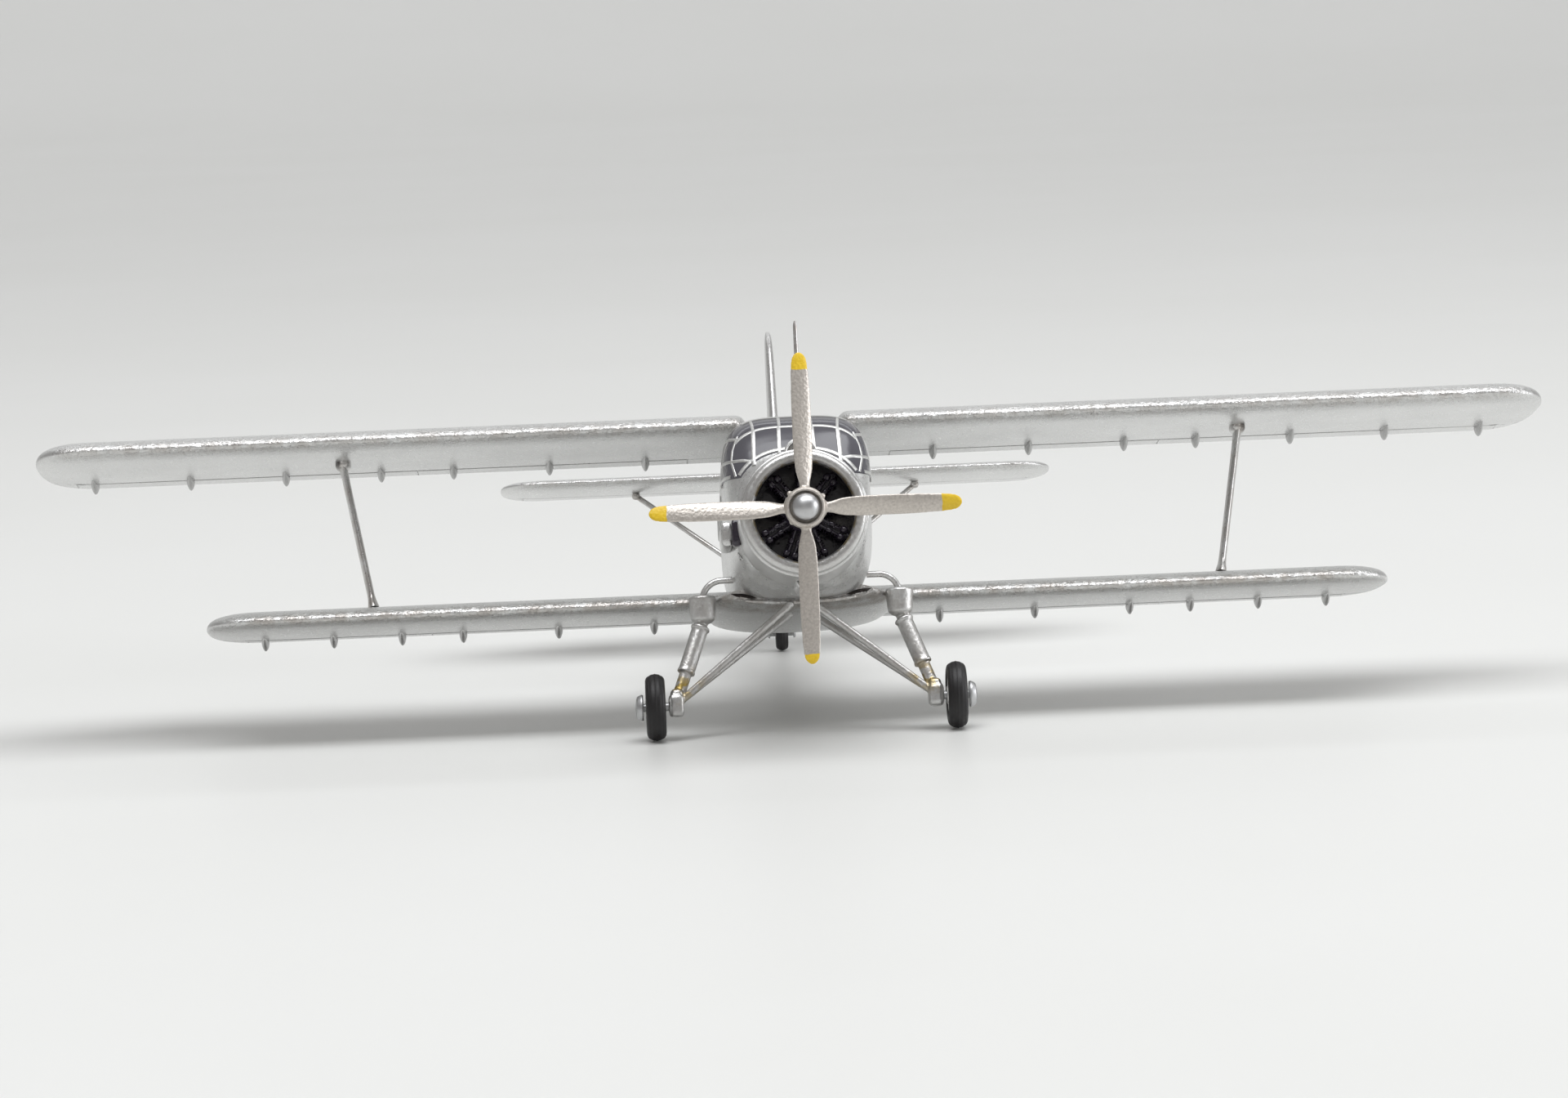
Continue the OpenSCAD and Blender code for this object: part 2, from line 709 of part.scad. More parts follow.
module axle_pin() {
  start = foot_x - foot_w / 2 + 0.15;
  color("gainsboro") turned_x(start, axle_y, -axle_z) polygon([
    [0, 0], [axle_r, 0], [axle_r, head_x - start], [head_r - 0.08, head_x - start],
    [head_r, head_x - start + 0.1], [head_r * 0.8, head_x - start + head_t * 0.8],
    [head_r * 0.4, head_x - start + head_t], [0, head_x - start + head_t]]);
}

crown = [0, tail_axle_y - 0.85, tail_axle_z + tail_r + 0.45];

module tail_fork() {
  color("silver") difference() {
    union() {
      for (s = [-1, 1]) hull() {
        along_x(s > 0 ? fork_x : -fork_x - fork_t, tail_axle_y, tail_axle_z, fork_t, 0.36, $fn = 32);
        along_x(s > 0 ? fork_x : -fork_x - fork_t, crown[1], crown[2], fork_t, 0.32, $fn = 32);
      }
      along_x(-fork_x - fork_t, crown[1], crown[2], 2 * (fork_x + fork_t), 0.32);
      rod(crown, crown + [0, -1.6, 2.4], leg_r);
    }
    body_shape();
    along_x(-2, tail_axle_y, tail_axle_z, 4, tail_pin_r);
  }
}

module tail_tyre() {
  color("black") turned_x(0, tail_axle_y, tail_axle_z) tyre_profile(tail_r, tail_w, tail_rim_r);
}

module tail_hub() {
  color("silver") turned_x(0, tail_axle_y, tail_axle_z) difference() {
    union() {
      translate([0, -tail_w * 0.4]) square([tail_rim_r, tail_w * 0.8]);
      translate([0, -tail_w / 2]) square([tail_rim_r * 0.7, tail_w]);
    }
    translate([0, -tail_w]) square([tail_pin_r + run_gap, 2 * tail_w]);
  }
}

module tail_axle_pin() {
  reach = fork_x + fork_t;
  color("gainsboro") {
    along_x(-reach - eps, tail_axle_y, tail_axle_z, 2 * (reach + eps), tail_pin_r);
    for (side = [-1, 1]) on_side(side) along_x(reach, tail_axle_y, tail_axle_z, 0.16, 0.34);
  }
}

// ---- Stance ----

// Distance behind the hub, along the ground, of a point drawn level
function ground_y(y, z) = y * cos(ground_angle) + z * sin(ground_angle);

// The lower blade reaches furthest forward and the rudder furthest aft
front_y = min([for (row = blade_rows, p = blade_ring(row)) ground_y(-p[1], -p[2])]);
rear_y = max([for (row = fin_rows) ground_y(row[2], row[0])]);

module sit() {
  translate([0, -(front_y + rear_y) / 2, hub_z]) rotate([-ground_angle, 0, 0]) children();
}

sit() fuselage();
sit() cockpit_hood();
sit() portholes();  // porthole_left
sit() on_side(-1) portholes();  // porthole_right
sit() cowling();
sit() engine();
sit() carburettor_scoop();
sit() oil_cooler();
sit() exhaust_pipe();
sit() propeller();
sit() propeller_pin();
sit() upper_wing(1);  // upper_wing_left
sit() upper_wing(-1);  // upper_wing_right
sit() lower_wing();
sit() interplane_strut();  // interplane_strut_left
sit() on_side(-1) interplane_strut();  // interplane_strut_right
sit() tailplane(1);  // tailplane_left
sit() tailplane(-1);  // tailplane_right
sit() tail_brace();  // tail_brace_left
sit() on_side(-1) tail_brace();  // tail_brace_right
sit() antenna_mast();
sit() main_gear();  // main_gear_left
sit() on_side(-1) main_gear();  // main_gear_right
sit() gear_brace();  // gear_brace_left
sit() on_side(-1) gear_brace();  // gear_brace_right
sit() main_tyre();  // tyre_left
sit() on_side(-1) main_tyre();  // tyre_right
sit() main_hub();  // wheel_hub_left
sit() on_side(-1) main_hub();  // wheel_hub_right
sit() axle_pin();  // axle_pin_left
sit() on_side(-1) axle_pin();  // axle_pin_right
sit() tail_fork();
sit() tail_tyre();
sit() tail_hub();
sit() tail_axle_pin();
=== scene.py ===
# %% [markdown]
# # A small silver biplane, cast in metal
#
# The object is a collector's model of a single-engined utility biplane, about nine centimetres across.
# Its body, wings and legs are zinc castings under silver lacquer, the cockpit hood is one smoked plastic
# moulding with printed frames, the engine is a black moulding, and the tyres are rubber.
#
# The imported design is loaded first, as a fixed frame.  It holds the sizes and the turning axes, and every
# surface made below is laid on it.

# %% Load the fixed frame
import json
import math

import bpy
import numpy as np
from mathutils import Matrix, Vector


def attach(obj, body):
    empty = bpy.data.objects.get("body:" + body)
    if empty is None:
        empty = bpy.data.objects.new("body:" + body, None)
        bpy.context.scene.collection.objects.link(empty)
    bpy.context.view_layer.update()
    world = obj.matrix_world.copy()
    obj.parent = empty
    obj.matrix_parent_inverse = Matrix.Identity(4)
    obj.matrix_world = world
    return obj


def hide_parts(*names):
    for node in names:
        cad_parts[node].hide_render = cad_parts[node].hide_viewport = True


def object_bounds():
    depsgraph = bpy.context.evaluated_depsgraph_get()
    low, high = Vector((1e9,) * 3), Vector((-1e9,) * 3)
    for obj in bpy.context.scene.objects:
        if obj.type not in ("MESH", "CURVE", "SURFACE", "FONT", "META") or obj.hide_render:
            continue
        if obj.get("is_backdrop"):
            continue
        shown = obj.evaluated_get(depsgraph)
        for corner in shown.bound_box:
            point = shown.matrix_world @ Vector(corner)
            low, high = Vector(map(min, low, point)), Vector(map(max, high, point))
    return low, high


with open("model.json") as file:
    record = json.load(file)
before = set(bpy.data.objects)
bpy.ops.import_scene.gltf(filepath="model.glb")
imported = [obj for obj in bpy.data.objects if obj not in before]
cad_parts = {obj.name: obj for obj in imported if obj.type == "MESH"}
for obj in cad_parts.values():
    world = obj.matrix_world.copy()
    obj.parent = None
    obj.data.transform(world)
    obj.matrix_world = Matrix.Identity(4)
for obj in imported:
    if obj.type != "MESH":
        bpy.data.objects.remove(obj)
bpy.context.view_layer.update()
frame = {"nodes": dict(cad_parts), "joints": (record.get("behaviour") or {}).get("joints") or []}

# %% [markdown]
# ## A level drawing board
#
# The model stands on its tail wheel, nose up.  That is awkward to draw in, so every piece is drawn level,
# in millimetres, with the propeller hub at the origin: X to port, Y aft and Z up.  The propeller's own
# joint says where the hub is and how far the nose is tipped, so `place` can put a drawing where it belongs.

# %% The level board
joints = {joint["name"]: joint for joint in frame["joints"]}
HUB = np.array(joints["propeller_spin"]["pos_m"])
SPIN = np.array(joints["propeller_spin"]["axis"])
TIP_ANGLE = math.atan2(SPIN[2], -SPIN[1])
LEVEL_TO_ROW = np.array([
    [1, 0, 0],
    [0, math.cos(TIP_ANGLE), math.sin(TIP_ANGLE)],
    [0, -math.sin(TIP_ANGLE), math.cos(TIP_ANGLE)],
])


def place(points):
    """Row points in metres from level points in millimetres: turned by the tip angle, moved to the hub."""
    return np.asarray(points) @ LEVEL_TO_ROW.T / 1000 + HUB


def level_box(name):
    """Lowest and highest corner of a CAD node on the level board, in millimetres."""
    mesh = frame["nodes"][name].data
    flat = np.zeros(len(mesh.vertices) * 3)
    mesh.vertices.foreach_get("co", flat)
    level = (flat.reshape(-1, 3) - HUB) @ LEVEL_TO_ROW * 1000
    return level.min(0), level.max(0)


print("nose up by", round(math.degrees(TIP_ANGLE), 2), "degrees")

# %% [markdown]
# ## Camera, floor and light
#
# A long lens looks at the nose from a little above the floor and slightly to starboard, which keeps both
# wings almost parallel.  The floor is one pale sheet that sweeps up behind the model, so there is no
# horizon.  One wide softbox hangs overhead: its reflection is what draws the bright line along each
# leading edge, and the darker room behind the camera draws the brown line under it.  A fill from port
# lifts that side, and a wash lights the backdrop.

# %% Camera
LENS_MM = 151.3
EYE_MM = (-13.41, -406.65, 51.8)
YAW, PITCH, ROLL = (math.radians(angle) for angle in (-1.84, -6.0, 2.25))

aim = Matrix.Rotation(YAW, 3, "Z") @ Matrix.Rotation(PITCH, 3, "X") @ Matrix.Rotation(ROLL, 3, "Y")
camera = bpy.data.objects.new("camera", bpy.data.cameras.new("camera"))
camera.data.sensor_width = 36
camera.data.lens = LENS_MM
camera.data.clip_start, camera.data.clip_end = 0.01, 20
right, ahead, up = (aim.col[axis] for axis in range(3))
camera.matrix_world = Matrix((
    (right.x, up.x, -ahead.x, EYE_MM[0] / 1000),
    (right.y, up.y, -ahead.y, EYE_MM[1] / 1000),
    (right.z, up.z, -ahead.z, EYE_MM[2] / 1000),
    (0, 0, 0, 1),
))
bpy.context.scene.collection.objects.link(camera)
bpy.context.scene.camera = camera
bpy.context.scene.view_settings.view_transform = "Standard"

# %% [markdown]
# ## Finishes, one node at a time
#
# Colours are chosen as sRGB hex values, the way paint is matched on a screen, and turned to the linear
# values that light is added up in.  `node` adds one shader node with its options and its inputs.  Patterns
# are sized by `per_mm`, because the model is in metres and a paint flake is a fraction of a millimetre.


# %% Helpers for finishes
def linear(hex_colour):
    """Linear RGBA of an sRGB hex: each channel is c/12.92 below 0.04045, else ((c + 0.055)/1.055)^2.4."""
    channels = np.array([int(hex_colour[i:i + 2], 16) / 255 for i in (1, 3, 5)])
    curve = np.where(channels <= 0.04045, channels / 12.92, ((channels + 0.055) / 1.055) ** 2.4)
    return (*curve.tolist(), 1.0)


def per_mm(size_mm):
    """Texture scale at which one cell of a pattern is size_mm across."""
    return 1000 / size_mm


def new_finish(name):
    """An empty node material and its Principled shader."""
    finish = bpy.data.materials.new(name)
    finish.use_nodes = True
    return finish, finish.node_tree.nodes["Principled BSDF"]


def node(finish, kind, inputs, **options):
    """Adds a shader node.  inputs gives each input, by name or number, a value or another node's output."""
    made = finish.node_tree.nodes.new("ShaderNode" + kind)
    for option, value in options.items():
        setattr(made, option, value)
    feed(finish, made, inputs)
    return made


def feed(finish, made, inputs):
    """Sets a node's inputs, or links them where the value is another node's output."""
    for socket, value in inputs.items():
        if isinstance(value, bpy.types.NodeSocket):
            finish.node_tree.links.new(value, made.inputs[socket])
        else:
            made.inputs[socket].default_value = value


# %% [markdown]
# The floor is matt white board.  It has a faint mottle, because no real board is perfectly even, and
# enough gloss to hold a soft dark smear under the model.

# %% Floor and backdrop
board, board_shader = new_finish("matt_white_board")
where = node(board, "TexCoord", {}).outputs["Object"]
mottle = node(board, "TexNoise", {"Vector": where, "Scale": per_mm(60), "Detail": 3}).outputs["Fac"]
tone = node(board, "Mix", {0: mottle, 6: linear("#DBDBD9"), 7: linear("#D6D6D3")}, data_type="RGBA")
feed(board, board_shader, {"Base Color": tone.outputs[2], "Roughness": 0.42})

BACK_Y, SWEEP_R, WALL_H, REACH = 0.9, 0.5, 1.4, 1.6


def floor_sheet(across=25, along=60):
    """Flat from in front of the camera to BACK_Y, a quarter circle of SWEEP_R, then a wall up to WALL_H."""
    turn = np.linspace(0, math.pi / 2, along)
    y = np.concatenate([[-1.6, 0.0], BACK_Y + SWEEP_R * np.sin(turn), [BACK_Y + SWEEP_R]])
    z = np.concatenate([[0.0, 0.0], SWEEP_R - SWEEP_R * np.cos(turn), [WALL_H]])
    x = np.linspace(-REACH, REACH, across)
    points = np.stack(np.broadcast_arrays(x, y[:, None], z[:, None]), -1)
    first = (np.arange(len(y) - 1)[:, None] * across + np.arange(across - 1)).ravel()
    faces = np.stack([first, first + 1, first + across + 1, first + across], -1)
    return points.reshape(-1, 3), faces


floor_mesh = bpy.data.meshes.new("floor")
floor_points, floor_faces = floor_sheet()
floor_mesh.from_pydata(floor_points.tolist(), [], floor_faces.tolist())
floor_mesh.shade_smooth()
floor_mesh.materials.append(board)
floor = bpy.data.objects.new("floor", floor_mesh)
bpy.context.scene.collection.objects.link(floor)
floor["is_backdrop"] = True


# %% Softbox, fill and room
def softbox(name, at, toward, size, watts, colour, turn=0.0):
    """A flat rectangular light at a point, facing another, both in metres, turned about its own middle."""
    lamp = bpy.data.lights.new(name, "AREA")
    lamp.shape = "RECTANGLE"
    lamp.size, lamp.size_y = size
    lamp.energy = watts
    lamp.color = linear(colour)[:3]
    light = bpy.data.objects.new(name, lamp)
    facing = Vector(toward) - Vector(at)
    aimed = facing.to_track_quat("-Z", "Y").to_matrix() @ Matrix.Rotation(turn, 3, "Z")
    light.rotation_euler = aimed.to_euler()
    light.location = at
    bpy.context.scene.collection.objects.link(light)
    return light


softbox("overhead_softbox", (0.06, -0.12, 0.6), (0, 0, 0), (0.8, 0.4), 4.5, "#FBFDFF", math.radians(-12))
softbox("port_fill", (0.85, -0.08, 0.22), (0, 0, 0.01), (0.5, 0.4), 3.0, "#FAFCFF")
softbox("backdrop_wash", (0, 0.9, 0.9), (0, 1.3, 0.0), (1.6, 0.3), 4.9, "#FAFCFF")

room = bpy.data.worlds.new("studio_room")
room.use_nodes = True
room.node_tree.nodes["Background"].inputs["Color"].default_value = linear("#A3A1A0")
room.node_tree.nodes["Background"].inputs["Strength"].default_value = 0.86
bpy.context.scene.world = room

# %% [markdown]
# ## From points to a piece
#
# Nearly everything here is a skin over rings: a row of closed outlines, each joined to the next.  `skin`
# works out all the faces at once and closes both ends.  `outward` measures the enclosed volume, which is
# negative when a shape is inside out, and turns the faces round if it has to.


# %% Skins
def outward(points, quads, tris):
    """(points, quads, tris) with faces pointing out: the sum of a.(b x c)/6 over triangles is positive."""
    corners = np.concatenate([tris, quads[:, [0, 1, 2]], quads[:, [0, 2, 3]]])
    a, b, c = (points[corners[:, k]] for k in range(3))
    if np.einsum("ij,ij->i", a, np.cross(b, c)).sum() < 0:
        quads, tris = quads[:, ::-1], tris[:, ::-1]
    return points, quads, tris


def skin(rings, ends="poles"):
    """Closed surface over m rings of n points, as quads between neighbours.  Its ends close at poles in the
    middle of the end rings, join each other, or are laced across a thin ring ("laced")."""
    rings = np.asarray(rings, float)
    m, n = rings.shape[:2]
    laps = m if ends == "joined" else m - 1
    ring, k = np.meshgrid(np.arange(laps), np.arange(n), indexing="ij")
    here, there = ring * n, (ring + 1) % m * n
    beside = (k + 1) % n
    quads = np.stack([here + k, here + beside, there + beside, there + k], -1).reshape(-1, 4)
    points = rings.reshape(-1, 3)
    tris = np.zeros((0, 3), int)
    k, beside = np.arange(n), (np.arange(n) + 1) % n
    last = (m - 1) * n
    if ends == "poles":
        points = np.concatenate([points, rings[[0, -1]].mean(1)])
        tris = np.concatenate([
            np.stack([beside, k, np.full(n, m * n)], -1),
            np.stack([last + k, last + beside, np.full(n, m * n + 1)], -1),
        ])
    if ends == "laced":
        k = np.arange(n // 2 - 1)
        lace = np.stack([k, n - 1 - k, n - 2 - k, k + 1], -1)
        quads = np.concatenate([quads, lace, last + lace[:, ::-1]])
    return outward(points, quads, tris)


def mirrored(shape):
    """The starboard twin of a port shape: X changes sign, and the faces are turned round to point out."""
    points, quads, tris = shape
    return points * [-1, 1, 1], quads[:, ::-1], tris[:, ::-1]


SIDES = (("left", lambda shape: shape), ("right", mirrored))


def piece(name, shapes, finish, nodes=(), body="airframe", crease=38, marks=None):
    """One object from closed level shapes: smooth, sharp where faces turn by more than crease degrees, riding
    on a CAD body and standing for CAD nodes.  marks(points) gives named values for the finish to read."""
    points, faces, start = [], [], 0
    for shape_points, quads, tris in shapes:
        points.append(shape_points)
        faces += (quads + start).tolist() + (tris + start).tolist()
        start += len(shape_points)
    level = np.concatenate(points)
    mesh = bpy.data.meshes.new(name)
    mesh.from_pydata(place(level).tolist(), [], faces)
    mesh.shade_smooth()
    mesh.set_sharp_from_angle(angle=math.radians(crease))
    mesh.materials.append(finish)
    for mark, values in (marks(level) if marks else {}).items():
        layer = mesh.attributes.new(mark, "FLOAT", "POINT")
        layer.data.foreach_set("value", np.broadcast_to(values, len(level)).astype(np.float32))
    made = bpy.data.objects.new(name, mesh)
    bpy.context.scene.collection.objects.link(made)
    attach(made, body)
    if nodes:
        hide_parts(*nodes)
    print(f"{name}: {len(level)} points, {len(faces)} faces")
    return made


# %% [markdown]
# Three more tools draw the rings.  `turned` spins a profile about a line, as a lathe would.  `swept` carries
# an outline along a path.  `between` is a curve through a few stations that never overshoots them, so the
# body can be drawn from a short table like a boat's.


# %% Lathe, sweep and curve
def soften(corners, radius, steps=5):
    """Profile with its inner corners rounded: each is cut back by radius and bridged by a quadratic curve."""
    corners = np.asarray(corners, float)
    before, at, after = corners[:-2], corners[1:-1], corners[2:]
    cut_a = np.minimum(radius / np.linalg.norm(before - at, axis=1), 0.5)[:, None]
    cut_b = np.minimum(radius / np.linalg.norm(after - at, axis=1), 0.5)[:, None]
    a, b = at + (before - at) * cut_a, at + (after - at) * cut_b
    t = np.linspace(0, 1, steps)[:, None]
    arcs = (1 - t) ** 2 * a[:, None] + 2 * t * (1 - t) * at[:, None] + t ** 2 * b[:, None]
    return np.concatenate([corners[:1], arcs.reshape(-1, 2), corners[-1:]])


def turned(profile, centre, direction, n=72, ends="poles"):
    """Surface of revolution: each (distance, radius) of the profile is a circle about the line through
    centre along direction."""
    profile = np.asarray(profile, float)
    axis = np.asarray(direction, float) / np.linalg.norm(direction)
    side = np.cross(axis, [0.0, 0.0, 1.0] if abs(axis[2]) < 0.9 else [1.0, 0.0, 0.0])
    side /= np.linalg.norm(side)
    turn = np.linspace(0, 2 * math.pi, n, endpoint=False)[:, None]
    circle = np.cos(turn) * side + np.sin(turn) * np.cross(axis, side)
    return skin(centre + profile[:, :1, None] * axis + profile[:, 1:, None] * circle, ends)


def swept(path, outline, scale=1.0, across=(1, 0, 0)):
    """An outline of (sideways, upward) points carried along a path, square to it.  Sideways is as near to
    `across` as the path allows, and scale shrinks the outline point by point."""
    path = np.asarray(path, float)
    along = np.gradient(path, axis=0)
    along /= np.linalg.norm(along, axis=1)[:, None]
    rise = np.cross(along, across)
    rise /= np.linalg.norm(rise, axis=1)[:, None]
    side = np.cross(rise, along)
    grown = np.asarray(outline)[None] * np.broadcast_to(scale, len(path))[:, None, None]
    return skin(path[:, None] + grown[..., :1] * side[:, None] + grown[..., 1:] * rise[:, None])


def ellipse(width, height, n=28, power=2.0):
    """Outline |x/w|^p + |y/h|^p = 1 with semi-axes width and height; power 2 is round, 4 nearly a box."""
    turn = np.linspace(0, 2 * math.pi, n, endpoint=False)
    cos, sin = np.cos(turn), np.sin(turn)
    reach = (np.abs(cos) ** power + np.abs(sin) ** power) ** (-1 / power)
    return np.stack([width * reach * cos, height * reach * sin], -1)


def rod(start, end, radius, n=24, dome=0.5, across=(1, 0, 0), flat=1.0):
    """A straight round bar between two points, its ends domed over a length of dome radii."""
    start, end = np.asarray(start, float), np.asarray(end, float)
    length = np.linalg.norm(end - start)
    turn = np.linspace(0, 1, 7)
    cap = radius * dome / length * (1 - np.cos(turn * math.pi / 2))
    share = np.concatenate([cap, 1 - cap[::-1]])
    fall = np.maximum(np.sin(turn * math.pi / 2), 0.02)
    scale = np.concatenate([fall, fall[::-1]])
    path = start + (end - start) * share[:, None]
    return swept(path, ellipse(radius, radius * flat, n), scale, across)


def between(x, xs, ys):
    """Monotone cubic curve through (xs, ys): slopes are harmonic means of the neighbouring chords, and zero
    where the chords change sign, so the curve never overshoots a station."""
    xs, ys = np.asarray(xs, float), np.asarray(ys, float)
    step = np.diff(xs)
    chord = np.diff(ys) / step
    product = chord[:-1] * chord[1:]
    total = np.where(product > 0, chord[:-1] + chord[1:], 1)
    inner = np.where(product > 0, 2 * product / total, 0)
    slope = np.concatenate([chord[:1], inner, chord[-1:]])
    k = np.clip(np.searchsorted(xs, x) - 1, 0, len(step) - 1)
    t = np.clip((x - xs[k]) / step[k], 0, 1)
    hump = t * t * (3 - 2 * t)
    return (ys[k] * (1 - hump) + ys[k + 1] * hump
            + step[k] * (slope[k] * t * (1 - t) ** 2 - slope[k + 1] * t * t * (1 - t)))


# %% [markdown]
# ## Engraved lines
#
# A toolmaker engraves panel lines into the mould, so they are real grooves.  A grid only shows a narrow
# groove if it has lines there, so `with_cuts` adds three of them at each cut, and `engrave` sinks the
# middle one along the surface's own normal.


# %% Grooves
CUT_W = 0.07
CUT_DEEP = 0.06


def with_cuts(values, cuts, width=CUT_W):
    """Grid values with three more at each cut, and no others inside it."""
    cuts = np.asarray(cuts, float)
    clear = np.abs(values[:, None] - cuts).min(1) > width if len(cuts) else np.ones(len(values), bool)
    return np.unique(np.concatenate([values[clear], cuts, cuts - width / 2, cuts + width / 2]))


def cut_at(values, cuts, width=CUT_W):
    """1 on a cut, falling to 0 half a width away."""
    return np.clip(1 - 2 * np.abs(np.asarray(values)[..., None] - np.asarray(cuts)) / width, 0, 1).max(-1)


def engrave(rings, depth):
    """Rings sunk by depth along their normals, which are the cross product of the two grid directions."""
    along = np.gradient(rings, axis=0)
    around = (np.roll(rings, -1, 1) - np.roll(rings, 1, 1)) / 2
    normal = np.cross(along, around)
    normal /= np.maximum(np.linalg.norm(normal, axis=-1), 1e-9)[..., None]
    centre = rings.mean(1, keepdims=True)
    facing = np.sign(np.einsum("ijk,ijk->ij", normal, rings - centre))[..., None]
    return rings - normal * facing * depth[..., None]


# %% [markdown]
# ## Silver lacquer on a zinc casting
#
# The real paint is a satin silver lacquer, sprayed thickly.  It is a metal finish, so nearly all its light
# is reflected, a little blurred by the flakes.  On flat undersides it is smooth; on the leading edges it
# dried in short wrinkles, which break the highlight up.  The mark `wrinkle` on a piece says how much, and
# `tarnish` browns the paint where it is thin.  A third mark mixes in painted shade, a dark brown, in the
# hinge grooves, on the hinge drops and in the joints, where shade falls.  The flakes would be too fine
# to see, so they are drawn at about three times their size.


# %% Silver lacquer
def silver_lacquer(name, light="#DADAD9", dark="#CDCDCC", roughness=0.31, grain_mm=0.16, grain=0.09):
    """Metallic lacquer: flakes tint it between two silvers, and two sizes of wrinkle raise it."""
    finish, shader = new_finish(name)
    where = node(finish, "TexCoord", {}).outputs["Object"]
    fine = node(finish, "TexNoise", {"Vector": where, "Scale": per_mm(grain_mm), "Detail": 2})
    flakes = fine.outputs["Fac"]
    clouds = node(finish, "TexNoise", {"Vector": where, "Scale": per_mm(4), "Detail": 3}).outputs["Fac"]
    blend = node(finish, "Math", {0: flakes, 1: clouds}, operation="ADD").outputs[0]
    share = node(finish, "MapRange", {"Value": blend, "From Min": 0.75, "From Max": 1.25}).outputs[0]
    paint = node(finish, "Mix", {0: share, 6: linear(dark), 7: linear(light)}, data_type="RGBA").outputs[2]

    tarnish = node(finish, "Attribute", {}, attribute_name="tarnish").outputs["Fac"]
    patches = node(finish, "TexNoise", {"Vector": where, "Scale": per_mm(0.9), "Detail": 4}).outputs["Fac"]
    patchy = node(finish, "MapRange", {"Value": patches, "From Min": 0.35, "From Max": 0.6}).outputs[0]
    worn = node(finish, "Math", {0: tarnish, 1: patchy}, operation="MULTIPLY").outputs[0]
    browned = node(finish, "Mix", {0: worn, 6: paint, 7: linear("#A0968D")}, data_type="RGBA").outputs[2]
    # Painted shade: a dark brown mixed in where the third mark says, in grooves, joints and on the drops.
    dirt = node(finish, "Attribute", {}, attribute_name="dirt").outputs["Fac"]
    colour = node(finish, "Mix", {0: dirt, 6: browned, 7: linear("#2E2A28")}, data_type="RGBA").outputs[2]

    wrinkle = node(finish, "Attribute", {}, attribute_name="wrinkle").outputs["Fac"]
    ridges = node(finish, "TexNoise", {"Vector": where, "Scale": per_mm(0.24), "Detail": 3, "Roughness": 0.6,
                                       "Distortion": 0.6}).outputs["Fac"]
    raised = node(finish, "Math", {0: ridges, 1: wrinkle}, operation="MULTIPLY").outputs[0]
    height = node(finish, "Math", {0: flakes, 1: grain, 2: raised}, operation="MULTIPLY_ADD").outputs[0]
    bump = node(finish, "Bump", {"Height": height, "Strength": 1.0, "Distance": 0.00007}).outputs[0]
    dull = node(finish, "MapRange", {"Value": flakes, "From Min": 0.3, "From Max": 0.7,
                                     "To Min": roughness - 0.05, "To Max": roughness + 0.07}).outputs[0]
    feed(finish, shader, {"Base Color": colour, "Metallic": 0.86, "Roughness": dull, "Normal": bump})
    return finish


SILVER = silver_lacquer("silver_lacquer")

# %% [markdown]
# ## The body
#
# The fuselage is a box with rounded corners that shrinks to a slim tail.  Each station gives the roof, the
# belly, the half width and how square the section is above and below, and the section is the squared
# ellipse |x/w|^e + |z/h|^e = 1.  The same function, a little larger, makes the cockpit hood, so the two
# can never drift apart.

# %% Body stations
HALF_W = level_box("fuselage")[1][0]
ROOF, BELLY = 7.35, -3.9
NOSE_Y, SCREEN_Y, UPPER_Y, STERN_Y = 8.75, 9.9, 14.2, 61.0
COWL_R = 3.75
DECK_R = COWL_R + 0.75
SILL_Z = 3.1
HOOD_END_Y = UPPER_Y - 0.2

# station, roof, belly, half width, squareness above and below
STATIONS = np.array([
    [NOSE_Y, COWL_R - 0.1, 0.1 - COWL_R, COWL_R - 0.1, 2, 2],
    [NOSE_Y + 0.6, COWL_R + 0.3, -COWL_R, (COWL_R + HALF_W) / 2 - 0.1, 2.1, 2.2],
    [SCREEN_Y, DECK_R, BELLY + 0.05, HALF_W - 0.38, 2.4, 2.6],
    [SCREEN_Y + 0.6, ROOF - 2.1, BELLY + 0.03, HALF_W - 0.28, 2.9, 3],
    [SCREEN_Y + 1.3, ROOF - 1.35, BELLY, HALF_W - 0.16, 3.5, 3.4],
    [SCREEN_Y + 2.1, ROOF - 0.8, BELLY, HALF_W - 0.07, 3.9, 3.7],
    [SCREEN_Y + 3.1, ROOF - 0.47, BELLY, HALF_W - 0.02, 4.1, 3.9],
    [UPPER_Y, ROOF - 0.3, BELLY, HALF_W, 4.1, 4],
    [UPPER_Y + 1.8, ROOF - 0.08, BELLY, HALF_W, 4.1, 4],
    [UPPER_Y + 4.3, ROOF, BELLY, HALF_W, 4.1, 4],
    [UPPER_Y + 8, ROOF - 0.12, BELLY, HALF_W, 4, 4],
    [26.5, ROOF - 0.5, BELLY, HALF_W - 0.02, 3.9, 3.9],
    [30, ROOF - 0.6, BELLY + 0.3, HALF_W - 0.12, 3.7, 3.6],
    [38, ROOF - 0.7, BELLY + 1.95, HALF_W - 1.02, 3.1, 3],
    [46, ROOF - 0.8, BELLY + 3.7, HALF_W - 2.15, 2.6, 2.6],
    [54, ROOF - 1, BELLY + 5.3, HALF_W - 3.12, 2.3, 2.3],
    [58, ROOF - 1.4, BELLY + 6.2, HALF_W - 3.55, 2.2, 2.2],
    [STERN_Y, ROOF - 2.2, BELLY + 7.2, HALF_W - 3.9, 2, 2],
])


def body_size(y, wide=1.0, proud=0.0):
    """Middle height, half height, half width and the two squarenesses of the body at stations y."""
    roof, belly, width, above, below = (between(y, STATIONS[:, 0], STATIONS[:, k]) for k in range(1, 6))
    return (roof + belly) / 2, (roof - belly) / 2 + proud, width * wide, above, below


